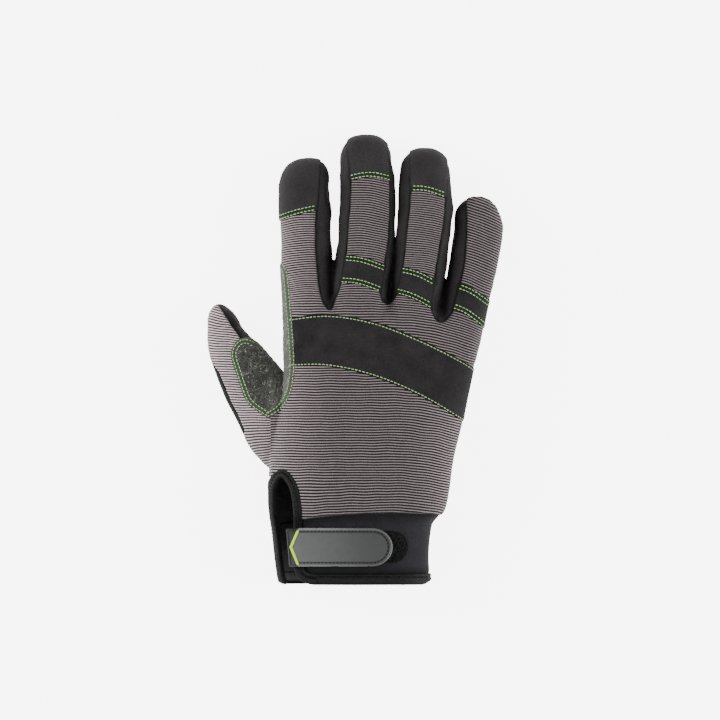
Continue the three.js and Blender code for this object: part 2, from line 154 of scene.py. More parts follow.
def ripple(points: np.ndarray, wavelength: float, seed: int) -> np.ndarray:
    """A gentle random swell over the surface, from about -1 to 1.

    Args:
        points: Places in millimetres.
        wavelength: Rough length of one swell in millimetres.
        seed: Picks one of many swells.

    Returns:
        The swell at each place.
    """
    dice = np.random.default_rng(seed)
    total = np.zeros(len(points))
    waves = 7
    for _ in range(waves):
        direction = dice.normal(size=3)
        direction *= dice.uniform(0.6, 1.5) / np.linalg.norm(direction)
        start = dice.uniform(0, 2 * math.pi)
        total += np.sin(points @ direction * (2 * math.pi / wavelength) + start)
    return total / math.sqrt(waves * 1.6)


def line_distance(line: np.ndarray, places: np.ndarray, closed: bool = False) -> np.ndarray:
    """Distance from places to a line, seen from above.

    Args:
        line: Corners of the line, x and y.
        places: Points whose first two columns are x and y.
        closed: True joins the last corner to the first.

    Returns:
        One distance for each place.
    """
    x, y = places[:, 0], places[:, 1]
    ends = np.roll(line, -1, axis=0) if closed else line[1:]
    best = np.full(len(places), np.inf)
    for (ax, ay), (bx, by) in zip(line, ends):
        dx, dy = bx - ax, by - ay
        length = dx * dx + dy * dy
        if length == 0:
            continue
        t = np.clip(((x - ax) * dx + (y - ay) * dy) / length, 0, 1)
        best = np.minimum(best, (x - ax - t * dx) ** 2 + (y - ay - t * dy) ** 2)
    return np.sqrt(best)


def within(outline: np.ndarray, places: np.ndarray) -> np.ndarray:
    """Distance inside a closed outline seen from above, negative outside it."""
    x, y = places[:, 0], places[:, 1]
    odd = np.zeros(len(places), dtype=bool)
    for (ax, ay), (bx, by) in zip(outline, np.roll(outline, -1, axis=0)):
        if ay == by:
            continue
        crossing = (ay > y) != (by > y)
        odd ^= crossing & (x < (bx - ax) * (y - ay) / (by - ay) + ax)
    distance = line_distance(outline, places, closed=True)
    return np.where(odd, distance, -distance)


@dataclass
class Surface:
    """A stretch of the glove's outer skin as triangles, in millimetres."""

    points: np.ndarray
    normals: np.ndarray
    triangles: np.ndarray
    edge: np.ndarray

    def clipped(self, field_values: np.ndarray) -> "Surface":
        """The part where a field isn't negative, cut cleanly along its zero line.

        Args:
            field_values: One value for each point, which is about a distance in millimetres.

        Returns:
            The part, with the field kept as its distance from the edge.
        """
        snap = 0.12
        f = np.where(np.abs(field_values) < snap, 0.0, field_values)
        keep = f[self.triangles] >= 0
        count = keep.sum(axis=1)
        parts = [self.triangles[count == 3]]
        turned = {}
        for wanted, mark in ((1, keep), (2, ~keep)):
            chosen = self.triangles[count == wanted]
            first = mark[count == wanted].argmax(axis=1) if len(chosen) else np.zeros(0, int)
            order = (np.arange(3)[None, :] + first[:, None]) % 3
            turned[wanted] = np.take_along_axis(chosen, order, axis=1)
        one, two = turned[1], turned[2]
        pairs = np.concatenate([one[:, [0, 1]], one[:, [0, 2]], two[:, [0, 1]], two[:, [0, 2]]])
        points, normals, edge = self.points, self.normals, f
        if len(pairs):
            pairs = np.sort(pairs, axis=1)
            unique, where = np.unique(pairs, axis=0, return_inverse=True)
            where = where.reshape(-1) + len(points)
            a, b = unique[:, 0], unique[:, 1]
            t = (f[a] / (f[a] - f[b]))[:, None]
            points = np.vstack([points, points[a] + (points[b] - points[a]) * t])
            between = normals[a] + (normals[b] - normals[a]) * t
            between /= np.linalg.norm(between, axis=1, keepdims=True)
            normals = np.vstack([normals, between])
            edge = np.concatenate([f, np.zeros(len(unique))])
            n1, n2 = len(one), len(two)
            one_ab, one_ac = where[:n1], where[n1 : 2 * n1]
            two_ab, two_ac = where[2 * n1 : 2 * n1 + n2], where[2 * n1 + n2 :]
            parts.append(np.stack([one[:, 0], one_ab, one_ac], axis=1))
            parts.append(np.stack([two_ab, two[:, 1], two[:, 2]], axis=1))
            parts.append(np.stack([two_ab, two[:, 2], two_ac], axis=1))
        triangles = np.concatenate(parts)
        used, compact = np.unique(triangles, return_inverse=True)
        return Surface(points[used], normals[used], compact.reshape(-1, 3), edge[used])

    def banded(self, levels: np.ndarray) -> tuple["Surface", np.ndarray]:
        """The same surface with its triangles cut along every whole number of a field.

        Args:
            levels: The field at each point.

        Returns:
            The cut surface, and the field at its points.
        """
        data = np.column_stack([self.points, self.normals, self.edge, levels])
        todo, done = self.triangles, []
        near, most_rounds, cells_per_mm = 1e-3, 12, 500
        for _ in range(most_rounds):
            q = data[todo, -1]
            low, high = q.min(axis=1), q.max(axis=1)
            level = np.round((low + high) / 2)
            level = np.where(level <= low + near, np.ceil(low + near), level)
            level = np.where(level >= high - near, np.floor(high - near), level)
            crossed = (level > low + near) & (level < high - near)
            done.append(todo[~crossed])
            todo, level, q = todo[crossed], level[crossed], q[crossed]
            if not len(todo):
                break
            data, todo = self.split(data, todo, q - level[:, None], level, near)
        triangles = np.concatenate(done)
        _, first, where = np.unique(
            np.round(data[:, :3] * cells_per_mm).astype(np.int64),
            axis=0,
            return_index=True,
            return_inverse=True,
        )
        triangles = where.reshape(-1)[triangles]
        data = data[first]
        a, b, c = triangles.T
        triangles = triangles[(a != b) & (b != c) & (c != a)]
        normals = data[:, 3:6] / np.linalg.norm(data[:, 3:6], axis=1, keepdims=True)
        return Surface(data[:, :3], normals, triangles, data[:, 6]), data[:, 7]

    @staticmethod
    def split(
        data: np.ndarray, triangles: np.ndarray, off: np.ndarray, level: np.ndarray, near: float
    ) -> tuple[np.ndarray, np.ndarray]:
        """Cuts each triangle along its own level.

        Args:
            data: Columns carried by each point, the field last.
            triangles: The triangles, each of which spans its level.
            off: The field less the level at each corner.
            level: The level of each triangle.
            near: Fields this close to a level count as on it.

        Returns:
            The longer table and the smaller triangles.
        """
        sign = np.where(np.abs(off) < near, 0, np.sign(off)).astype(int)
        touching = (sign == 0).sum(axis=1) == 1
        alone = sign == -sign.sum(axis=1, keepdims=True)
        made = []
        for chosen, corner in ((touching, sign == 0), (~touching, alone)):
            if not chosen.any():
                continue
            first = corner[chosen].argmax(axis=1)
            order = (np.arange(3)[None, :] + first[:, None]) % 3
            a, b, c = np.take_along_axis(triangles[chosen], order, axis=1).T
            at = level[chosen]
            if (sign[chosen] == 0).any():
                data, bc = Surface.crossing(data, b, c, at)
                made += [np.stack([a, b, bc], axis=1), np.stack([a, bc, c], axis=1)]
            else:
                data, ab = Surface.crossing(data, a, b, at)
                data, ac = Surface.crossing(data, a, c, at)
                made += [
                    np.stack([a, ab, ac], axis=1),
                    np.stack([ab, b, c], axis=1),
                    np.stack([ab, c, ac], axis=1),
                ]
        return data, np.concatenate(made)

    @staticmethod
    def crossing(
        data: np.ndarray, a: np.ndarray, b: np.ndarray, level: np.ndarray
    ) -> tuple[np.ndarray, np.ndarray]:
        """New points where edges cross their levels, and their places in the longer table."""
        low, high = np.minimum(a, b), np.maximum(a, b)
        t = ((level - data[low, -1]) / (data[high, -1] - data[low, -1]))[:, None]
        new = data[low] + (data[high] - data[low]) * t
        return np.vstack([data, new]), np.arange(len(new)) + len(data)

    def refined(self) -> "Surface":
        """The same surface with each triangle split in four."""
        tri = self.triangles
        sides = np.sort(np.concatenate([tri[:, [0, 1]], tri[:, [1, 2]], tri[:, [2, 0]]]), axis=1)
        unique, where = np.unique(sides, axis=0, return_inverse=True)
        where = where.reshape(3, -1) + len(self.points)
        a, b = unique[:, 0], unique[:, 1]
        lift = self.points[b] - self.points[a]
        middle = (self.points[a] + self.points[b]) / 2
        bend = ((self.normals[a] - self.normals[b]) * lift).sum(axis=1, keepdims=True) / 8
        normals = self.normals[a] + self.normals[b]
        normals /= np.linalg.norm(normals, axis=1, keepdims=True)
        middle = middle - normals * bend
        ab, bc, ca = where
        made = np.concatenate(
            [
                np.stack([tri[:, 0], ab, ca], axis=1),
                np.stack([ab, tri[:, 1], bc], axis=1),
                np.stack([ca, bc, tri[:, 2]], axis=1),
                np.stack([ab, bc, ca], axis=1),
            ]
        )
        return Surface(
            np.vstack([self.points, middle]),
            np.vstack([self.normals, normals]),
            made,
            np.concatenate([self.edge, (self.edge[a] + self.edge[b]) / 2]),
        )


@dataclass(frozen=True)
class Tube:
    """One tube of the form. A section is left x, left y, right x, right y, lowest and highest z."""

    power: float
    end: tuple[float, float, float]
    end_power: float
    sections: tuple[Row, ...]

    def rings(self, sides: int, per_gap: int, dome_rings: int) -> np.ndarray:
        """Rings of points from the open end to the domed one, the last one a single point.

        Args:
            sides: Points in a ring.
            per_gap: Rings from one section to the next.
            dome_rings: Rings in the dome.

        Returns:
            An array of rings, points and coordinates.
        """
        rows = along(self.sections, per_gap)
        made = [self.ring(row, sides) for row in rows]
        last = rows[-1]
        base = np.array([(last[0] + last[2]) / 2, (last[1] + last[3]) / 2, (last[4] + last[5]) / 2])
        axis = np.array(self.end) - base
        for k in range(1, dome_rings + 1):
            angle = math.pi / 2 * k / dome_rings
            scale = max(math.cos(angle), 0.0) ** (2 / self.end_power)
            shift = axis * math.sin(angle) ** (2 / self.end_power)
            made.append(self.ring(last, sides, max(scale, 1e-3)) + shift)
        return np.array(made)

    def ring(self, row: np.ndarray, sides: int, scale: float = 1.0) -> np.ndarray:
        """The points of one section, shrunk about its centre by a scale."""
        left, right = np.array([row[0], row[1], 0.0]), np.array([row[2], row[3], 0.0])
        across = right - left
        half_width = np.linalg.norm(across) / 2 * scale
        half_height = (row[5] - row[4]) / 2 * scale
        centre = (left + right) / 2 + np.array([0, 0, (row[4] + row[5]) / 2])
        across /= np.linalg.norm(across)
        angle = 2 * math.pi * (np.arange(sides) + 0.5) / sides
        c, s = np.cos(angle), np.sin(angle)
        wide = np.sign(c) * np.abs(c) ** (2 / self.power) * half_width
        high = np.sign(s) * np.abs(s) ** (2 / self.power) * half_height
        points = centre + wide[:, None] * across
        points[:, 2] += high
        return points


@dataclass
class GloveForm:
    """The glove's whole outer form, from which every sewn piece is cut."""

    hand: Tube = Tube(
        2.8,
        (13, 42, 11),
        2,
        (
            (-40, -133, 39, -133, -0.8, 34),
            (-42, -123.5, 41, -123.5, -0.8, 34),
            (-43.5, -110, 40.5, -110, -0.8, 33),
            (-45.5, -93.5, 41.5, -93.5, -0.8, 33.5),
            (-46.5, -88, 43.5, -88, -0.8, 35),
            (-47.2, -84, 48, -84, -1, 37.5),
            (-47.5, -76, 50.5, -76, -1, 38.5),
            (-47, -60, 53, -59, -1, 39.5),
            (-44.8, -43, 56, -43, -1, 40.5),
            (-41, -27, 59.5, -28, -0.8, 41),
            (-38.5, -10, 62.8, -13, -0.5, 40.5),
            (-38.8, 7, 66, 2, 0.2, 39),
            (-38.5, 24, 68.5, 11, 1.5, 36),
        ),
    )
    digits: tuple[Tube, ...] = (
        Tube(
            2.5,
            (-27, 110.9, 9),
            2.5,
            (
                (-38.3, 8, -11, 8, 1.5, 36),
                (-39.5, 33, -12, 33, 2.5, 33),
                (-40.3, 54, -12.8, 54, 2, 28.5),
                (-41, 74, -13.6, 74, 1, 25.5),
                (-41.6, 95, -15, 97, -0.5, 22.5),
            ),
        ),
        Tube(
            2.5,
            (5.6, 123.5, 9),
            2.5,
            (
                (-12, 8, 19, 8, 1.5, 38.5),
                (-13, 33, 18.5, 33, 3, 36),
                (-11, 57, 20.7, 57, 2.5, 30.5),
                (-9.1, 76, 21.1, 76, 1.5, 27),
                (-8.5, 94, 21.2, 94, 0.5, 24.5),
                (-8.5, 109, 19.6, 109, -0.6, 22.5),
            ),
        ),
        Tube(
            2.5,
            (38.2, 116.3, 9),
            2.5,
            (
                (17.5, 7, 44.5, 5, 1.5, 37),
                (19, 33, 46.5, 31, 3, 34.5),
                (21.4, 57, 49.8, 55, 2.5, 29.5),
                (23.8, 77, 52.1, 76, 1.5, 26.5),
                (24.6, 94, 52.2, 93, 0.3, 24),
                (25.2, 103, 51.4, 102, -0.6, 22.5),
            ),
        ),
        Tube(
            2.5,
            (67.5, 89.8, 9),
            2.3,
            (
                (42.5, 2, 65.8, -1, 1.5, 33.5),
                (45.6, 24, 70.3, 20, 3, 31.5),
                (49.2, 41, 74.5, 37, 2.5, 27.5),
                (51.2, 47, 75.9, 43.3, 2, 26.3),
                (52.8, 57, 78, 54, 1, 24.5),
                (55.1, 73, 80.8, 72, -0.6, 22),
            ),
        ),
        Tube(
            2.3,
            (-75.6, 31.4, 9.5),
            1.75,
            (
                (-38, -66, -16, -48, 3, 22),
                (-51.2, -56, -24, -36, -0.4, 26),
                (-59.7, -45, -29, -26, -0.8, 27),
                (-66, -32, -33.5, -16.5, -0.8, 27),
                (-72.5, -18.7, -40, -7.5, -0.8, 26.5),
                (-77.8, -5.5, -47.5, 1, -0.8, 25.5),
                (-80.6, 8, -55.8, 11, -0.8, 24),
                (-81.1, 17.5, -62.8, 18.2, -0.6, 22),
            ),
        ),
    )
    sides: int = 72
    per_gap: int = 7
    dome_rings: int = 12
    # Gentle swell of the cloth: its size and length, and the heights between which it sets in
    swell: float = 0.32
    swell_length: float = 34.0
    swell_from: Point2 = (3.0, 12.0)
    # Middle lines of the narrow gaps between fingers, and how far each side is drawn in to them:
    # a share of its distance at most, less between two distances, from a line's lower end on
    gaps: tuple[tuple[Point2, ...], ...] = (
        ((22.4, 66), (22.4, 100)),
        ((48.6, 41), (50, 47), (51.4, 57), (53.6, 77), (54.2, 95)),
    )
    gap_draw: float = 0.7
    gap_share: float = 0.45
    gap_fade: Point2 = (2.0, 7.0)
    gap_start: Point2 = (-6.0, 3.0)

    def surface(self, voxel: float, rounds: int, with_digits: bool = True) -> Surface:
        """The joined and smoothed form.

        Args:
            voxel: Rough length of a face's side in millimetres.
            rounds: Rounds of smoothing, which fill the corners between the digits.
            with_digits: False leaves the fingers and thumb off.

        Returns:
            The form's skin, closed all round.
        """
        points, faces = [], []
        for tube in (self.hand, *(self.digits if with_digits else ())):
            self.add_tube(tube, points, faces)
        mesh = bpy.data.meshes.new("form")
        mesh.from_pydata(points, [], faces)
        body = bpy.data.objects.new("form", mesh)
        bpy.context.scene.collection.objects.link(body)
        select_only(body)
        bpy.ops.object.mode_set(mode="EDIT")
        bpy.ops.mesh.select_all(action="SELECT")
        bpy.ops.mesh.normals_make_consistent(inside=False)
        bpy.ops.object.mode_set(mode="OBJECT")
        join = body.modifiers.new("join", "REMESH")
        join.mode = "VOXEL"
        join.voxel_size = voxel
        soften = body.modifiers.new("soften", "SMOOTH")
        soften.factor = 0.5
        soften.iterations = rounds
        for modifier in ("join", "soften"):
            bpy.ops.object.modifier_apply(modifier=modifier)
        shape = body.data
        coords = np.empty(len(shape.vertices) * 3)
        shape.vertices.foreach_get("co", coords)
        coords = coords.reshape(-1, 3)
        lying = reach(coords[:, 2], *self.swell_from)[:, None]
        swollen = (ripple(coords, self.swell_length, 3) * self.swell)[:, None]
        coords += self.normals_of(shape) * swollen * lying
        if with_digits:
            coords[:, 0] += self.drawn_in(coords)
        coords[:, 2] = np.maximum(coords[:, 2], 0)
        shape.vertices.foreach_set("co", coords.reshape(-1))
        shape.update()
        shape.calc_loop_triangles()
        triangles = np.empty(len(shape.loop_triangles) * 3, dtype=np.int64)
        shape.loop_triangles.foreach_get("vertices", triangles)
        normals = self.normals_of(shape)
        bpy.data.objects.remove(body)
        return Surface(coords, normals, triangles.reshape(-1, 3), np.full(len(coords), CLEAR))

    def drawn_in(self, places: np.ndarray) -> np.ndarray:
        """How far each place moves in x, to leave the gaps between the fingers as narrow slits."""
        total = np.zeros(len(places))
        for line in self.gaps:
            rows = np.array(line)
            off = places[:, 0] - np.interp(places[:, 1], rows[:, 1], rows[:, 0])
            away = np.abs(off)
            pull = np.minimum(self.gap_draw, self.gap_share * away)
            pull = pull * (1 - reach(away, *self.gap_fade))
            start, full = rows[0, 1] + np.array(self.gap_start)
            total -= np.sign(off) * pull * reach(places[:, 1], start, full)
        return total

    def add_tube(self, tube: Tube, points: list[Row], faces: list[tuple[int, ...]]) -> None:
        """Adds one closed tube to lists of points and faces."""
        rings = tube.rings(self.sides, self.per_gap, self.dome_rings)
        first = len(points)
        points.extend(map(tuple, rings.reshape(-1, 3)))
        n = self.sides
        for r in range(len(rings) - 1):
            for k in range(n):
                a, b = first + r * n + k, first + r * n + (k + 1) % n
                faces.append((a, b, b + n, a + n))
        faces.append(tuple(first + k for k in reversed(range(n))))
        faces.append(tuple(first + (len(rings) - 1) * n + k for k in range(n)))

    @staticmethod
    def normals_of(mesh: bpy.types.Mesh) -> np.ndarray:
        """The vertex normals of a mesh as rows."""
        normals = np.empty(len(mesh.vertices) * 3)
        mesh.vertices.foreach_get("normal", normals)
        return normals.reshape(-1, 3)


def select_only(obj: bpy.types.Object) -> None:
    """Deselects everything, then selects one object and makes it the active one."""
    bpy.ops.object.select_all(action="DESELECT")
    obj.select_set(True)
    bpy.context.view_layer.objects.active = obj


@dataclass(frozen=True)
class RibField:
    """The knit's ribs seen from above, counted in ribs up the glove."""

    hand_pitch: float = 1.47
    thumb_pitch: float = 1.38
    droop: float = 0.0042
    droop_from: float = 20.0
    # Each finger: axis x, pitch, slope of a rib to the right, and how hard its ends bend down
    fingers: tuple[Row, ...] = (
        (-27.0, 1.29, 0.05, 0.008),
        (4.5, 1.33, -0.10, 0.010),
        (36.0, 1.24, -0.16, 0.008),
        (62.0, 1.43, -0.36, 0.004),
    )
    # Line through the roots of the fingers, x and y
    roots: tuple[Point2, ...] = ((-40, 30), (-14, 28), (17.6, 31), (46.5, 21), (72, 10))
    # Thumb: y, the axis's x there, and how far a rib falls for each millimetre to the right
    thumb: tuple[Row, ...] = (
        (-64, -38, -0.20),
        (-48, -44, -0.12),
        (-32, -50, 0.02),
        (-12, -60, 0.05),
        (6, -68, 0.07),
        (18, -71, 0.18),
        (32, -75, 0.42),
    )
    sway: float = 0.16
    # Ribs near the cuff rise to the left of an x, less between two heights
    low_rise: float = 0.05
    low_rise_x: float = 12.0
    low_rise_y: Point2 = (-86.0, -60.0)
    # The hand's ribs turn into a finger's between these heights over its root
    turn: Point2 = (-8.0, 18.0)
    # Above the knuckles the fingers lean and spread to the right for each millimetre up
    knuckle_y: float = 30.0
    lean: float = 0.09
    spread: float = 0.05

    def drooped(self, x: np.ndarray) -> np.ndarray:
        """How far a rib has dropped at an x, towards the hand's right side."""
        return self.droop * np.maximum(x - self.droop_from, 0) ** 2

    def count(self, places: np.ndarray) -> np.ndarray:
        """The rib number at each place, with its fraction."""
        x, y = places[:, 0], places[:, 1]
        near_cuff = 1 - reach(y, *self.low_rise_y)
        rise = self.low_rise * np.minimum(x - self.low_rise_x, 0) * near_cuff
        hand = (y + self.drooped(x) - rise) / self.hand_pitch
        roots = np.array(self.roots)
        blend = reach(y - np.interp(x, roots[:, 0], roots[:, 1]), *self.turn)
        lean = self.lean * np.maximum(y - self.knuckle_y, 0)
        slots = [SLOTS[name][0] for name in SLOTS]
        which = sum((x - lean * k / 2 > at).astype(int) for k, at in enumerate(slots, start=1))
        table = np.array(self.fingers)[which]
        across = x - table[:, 0] - (y - self.knuckle_y) * (which - 0.5) * self.spread
        bent = y + self.drooped(table[:, 0]) - table[:, 2] * across + table[:, 3] * across**2
        start = np.interp(table[:, 0], roots[:, 0], roots[:, 1])
        finger = (bent - start) / table[:, 1] + start / self.hand_pitch
        swayed = self.sway * ripple(places, 17, 41)
        return hand * (1 - blend) + finger * blend + swayed

    def thumb_count(self, places: np.ndarray) -> np.ndarray:
        """The rib number on the thumb, whose ribs fan out from its crotch."""
        x, y = places[:, 0], places[:, 1]
        rows = np.array(self.thumb)
        axis, fall = (np.interp(y, rows[:, 0], rows[:, k]) for k in (1, 2))
        return (y + fall * (x - axis)) / self.thumb_pitch + self.sway * ripple(places, 13, 43)


class Held(Enum):
    """How a cloth piece is held, in the words of the frame's own list."""

    STRETCHED = "stretched"
    LAID = "laid"
    FOLDED = "folded"


@dataclass(frozen=True)
class Sewn:
    """One sewn piece: what it stands for, how it lies over the form and its flat cut's size.

    Its face lies at the height over the form, and dives by the dive over the dive's width to its
    edge. The pucker is the depth of the waves along its seams, and each refining splits a triangle
    of the form in four.
    """

    name: str
    nodes: tuple[str, ...]
    slot: str
    height: float
    thickness: float
    dive: float
    dive_width: float
    flat: tuple[float, float]
    area: float
    held: Held = Held.STRETCHED
    pucker: float = 0.0
    refine: int = 0
    cloth: bool = True


class Tailor:
    """Cuts pieces from the form, dresses them and keeps what lies on top for the stitches."""

    rib_levels: int = 2
    rib_height: float = 0.34
    rib_roundness: float = 0.75
    # Distances from the edge between which the ribs rise
    rib_start: Point2 = (0.2, 1.6)
    # Length of a pucker along a seam, and how far from the seam it dies away
    pucker_length: float = 7.0
    pucker_reach: float = 4.0
    # Triangles of the form this far outside a piece may still touch it
    margin: float = 3.0
    # Edges sharper than this stay sharp, in degrees, on plain cloth and on ribs
    sharp: Point2 = (50.0, 85.0)

    def __init__(self, form: Surface) -> None:
        """Starts with the glove's form."""
        self.form = form
        self.shells: list[tuple[np.ndarray, np.ndarray]] = []

    def cut(
        self,
        piece: Sewn,
        field_of: Callable[[np.ndarray], np.ndarray],
        material: bpy.types.Material,
        ribs: Callable[[np.ndarray], np.ndarray] | None = None,
        relief: Callable[[np.ndarray, np.ndarray], np.ndarray] | None = None,
        tint: Callable[[np.ndarray, np.ndarray], np.ndarray] | None = None,
        open_edge: Callable[[np.ndarray], np.ndarray] | None = None,
    ) -> None:
        """Cuts one piece from the form and gives it its thickness and finish.

        Args:
            piece: The piece's sizes.
            field_of: Distance inside the piece's outline at each place, negative outside.
            material: Its finish.
            ribs: Rib number at each place, for the knit.
            relief: Height added over the form, from places and distances to the edge.
            tint: Share of the finish's second colour, from places and normals.
            open_edge: Distance added to the edge's, where the piece runs on without a seam.
        """
        skin = self.form
        values = field_of(skin.points)
        touched = (values > -self.margin)[skin.triangles].any(axis=1)
        triangles = skin.triangles[touched]
        used, compact = np.unique(triangles, return_inverse=True)
        skin = Surface(
            skin.points[used], skin.normals[used], compact.reshape(-1, 3), values[used]
        )
        for _ in range(piece.refine):
            skin = skin.refined()
        values = field_of(skin.points) if piece.refine else values[used]
        skin = skin.clipped(values)
        count = None
        if ribs is not None:
            skin, levels = skin.banded(ribs(skin.points) * self.rib_levels)
            count = levels / self.rib_levels
        edge = skin.edge
        if open_edge is not None:
            edge = edge + open_edge(skin.points)
        height = piece.height - piece.dive * (1 - np.clip(edge / piece.dive_width, 0, 1)) ** 2
        if piece.pucker:
            close = np.exp(-edge / self.pucker_reach)
            wave = ripple(skin.points, self.pucker_length, len(piece.name))
            height = height + piece.pucker * wave * close
        if relief is not None:
            height = height + relief(skin.points, edge)
        if count is not None:
            crest = np.abs((count + 0.5) % 1 - 0.5) * 2
            raised = self.rib_height * crest**self.rib_roundness
            height = height + raised * reach(edge, *self.rib_start)
        points = skin.points + skin.normals * height[:, None]
        points[:, 2] = np.maximum(points[:, 2], 0.0)
        self.shells.append((points, skin.triangles))
        inner = points - skin.normals * piece.thickness
        inner[:, 2] = np.maximum(inner[:, 2], 0.0)
        corners, faces, source = self.walled(points, inner, skin.triangles, count is None)
        made = self.object_from(piece.name, corners, faces)
        self.attribute(made, "edge", edge[source])
        if tint is not None:
            self.attribute(made, "tint", tint(skin.points, skin.normals)[source])
        if count is not None:
            self.attribute(made, "rib", count[source])
        select_only(made)
        sharp = self.sharp[0 if count is None else 1]
        bpy.ops.object.shade_smooth_by_angle(angle=math.radians(sharp))
        made.data.materials.append(material)
        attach(made, "root")
        if piece.nodes:
            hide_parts(*piece.nodes)
        size = len(made.data.polygons), self.area(points, skin)
        LOG.info("%s: %d faces, %.0f mm2", piece.name, *size)

    @staticmethod
    def walled(
        outer: np.ndarray, inner: np.ndarray, triangles: np.ndarray, lined: bool
    ) -> tuple[np.ndarray, np.ndarray, np.ndarray]:
        """Gives a face of cloth its thickness, with a wall down from its border.

        Args:
            outer: The face's points.
            inner: The same points on the cloth's inner side.
            triangles: The face's triangles.
            lined: True makes the inner side too, False the walls alone.

        Returns:
            All points, all triangles, and the face's point that each point comes from.
        """
        sides = np.concatenate([triangles[:, [0, 1]], triangles[:, [1, 2]], triangles[:, [2, 0]]])
        _, where, counts = np.unique(
            np.sort(sides, axis=1), axis=0, return_inverse=True, return_counts=True
        )
        a, b = sides[counts[where.reshape(-1)] == 1].T
        below = np.arange(len(outer)) if lined else np.unique(a)
        place = np.zeros(len(outer), dtype=np.int64)
        place[below] = np.arange(len(below)) + len(outer)
        faces = [
            triangles,
            np.stack([b, a, place[a]], axis=1),
            np.stack([b, place[a], place[b]], axis=1),
        ]
        if lined:
            faces.append(place[triangles[:, ::-1]])
        source = np.concatenate([np.arange(len(outer)), below])
        return np.vstack([outer, inner[below]]), np.concatenate(faces), source

    @staticmethod
    def area(points: np.ndarray, skin: Surface) -> float:
        """The area of a cut piece's face in square millimetres."""
        a, b, c = (points[skin.triangles[:, k]] for k in range(3))
        return float(np.linalg.norm(np.cross(b - a, c - a), axis=1).sum() / 2)

    @staticmethod
    def object_from(name: str, points: np.ndarray, faces: np.ndarray) -> bpy.types.Object:
        """An object in the row frame from points in millimetres."""
        mesh = bpy.data.meshes.new(name)
        mesh.from_pydata(((points + SHIFT) * MM).tolist(), [], faces.tolist())
        made = bpy.data.objects.new(name, mesh)
        bpy.context.scene.collection.objects.link(made)
        return made

    @staticmethod
    def attribute(obj: bpy.types.Object, name: str, values: np.ndarray) -> None:
        """Writes one number for each point, which the object's finish reads."""
        layer = obj.data.attributes.new(name, "FLOAT", "POINT")
        layer.data.foreach_set("value", values.astype(np.float32))

    def top(self) -> BVHTree:
        """Everything cut so far, for finding the top surface under a stitch."""
        points, faces, first = [], [], 0
        for shell_points, shell_faces in self.shells:
            points.append(shell_points)
            faces.append(shell_faces + first)
            first += len(shell_points)
        return BVHTree.FromPolygons(np.vstack(points).tolist(), np.vstack(faces).tolist())


class Graph:
    """Adds nodes to one node tree and joins them."""

    def __init__(self, tree: bpy.types.NodeTree) -> None:
        """Starts on a tree."""
        self.tree = tree

    def node(self, kind: str, inputs: dict | None = None, **settings: object) -> bpy.types.Node:
        """A new node.

        Args:
            kind: Its type, without the leading ShaderNode.
            inputs: A number, colour or output for some of its inputs, by name or place.
            settings: Its own settings.

        Returns:
            The node.
        """
        made = self.tree.nodes.new("ShaderNode" + kind)
        for key, value in settings.items():
            setattr(made, key, value)
        for key, value in (inputs or {}).items():
            self.feed(made.inputs[key], value)
        return made

    def feed(self, socket: bpy.types.NodeSocket, value: object) -> None:
        """Links an output to an input, or sets the input's own number or colour."""
        if isinstance(value, bpy.types.NodeSocket):
            self.tree.links.new(value, socket)
        elif isinstance(value, tuple) and len(value) == 3 and socket.type == "RGBA":
            socket.default_value = (*value, 1.0)
        else:
            socket.default_value = value

    def math(self, operation: str, *values: object) -> bpy.types.NodeSocket:
        """The result of one sum on numbers or outputs."""
        return self.node("Math", dict(enumerate(values)), operation=operation).outputs[0]

    def spread(self, value: object, low: Row, high: Row) -> bpy.types.NodeSocket:
        """A value's range low carried over smoothly to the range high."""
        inputs = {
            "Value": value,
            "From Min": low[0],
            "From Max": low[1],
            "To Min": high[0],
            "To Max": high[1],
        }
        return self.node("MapRange", inputs, interpolation_type="SMOOTHSTEP").outputs[0]

    def mix(self, factor: object, a: object, b: object, blend: str = "MIX") -> bpy.types.NodeSocket:
        """Two colours mixed by a factor."""
        made = self.node("Mix", {0: factor, 6: a, 7: b}, data_type="RGBA", blend_type=blend)
        return made.outputs[2]

    def place(self) -> bpy.types.NodeSocket:
        """The place on the object, in metres."""
        return self.node("TexCoord").outputs["Object"]

    def carried(self, name: str) -> bpy.types.NodeSocket:
        """A number that the piece carries at each point."""
        return self.node("Attribute", attribute_name=name).outputs["Fac"]

    def noise(
        self, place: object, scale: object, detail: float, **more: float
    ) -> bpy.types.NodeSocket:
        """Smooth noise, about 0 to 1."""
        inputs = {"Vector": place, "Scale": scale, "Detail": detail, **more}
        return self.node("TexNoise", inputs).outputs[0]

    def brighter(self, colour: object, factor: object) -> bpy.types.NodeSocket:
        """A colour times a factor."""
        return self.node("VectorMath", {0: colour, "Scale": factor}, operation="SCALE").outputs[0]

    def tinted(self, colour: object, tint: object) -> bpy.types.NodeSocket:
        """A colour with the tint laid over it where the piece's own tint says."""
        return self.mix(self.carried("tint"), colour, tint)

    def group(self, tree: bpy.types.NodeTree, **inputs: float) -> bpy.types.NodeSocket:
        """What a shared effect gives here with its own values."""
        made = self.tree.nodes.new("ShaderNodeGroup")
        made.node_tree = tree
        for key, value in inputs.items():
            self.feed(made.inputs[key], value)
        return made.outputs[0]


def linear(red: int, green: int, blue: int) -> Colour:
    """A screen colour from 0 to 255 as the light it stands for."""
    steps = [value / 255 for value in (red, green, blue)]
    return tuple(v / 12.92 if v <= 0.04045 else ((v + 0.055) / 1.055) ** 2.4 for v in steps)


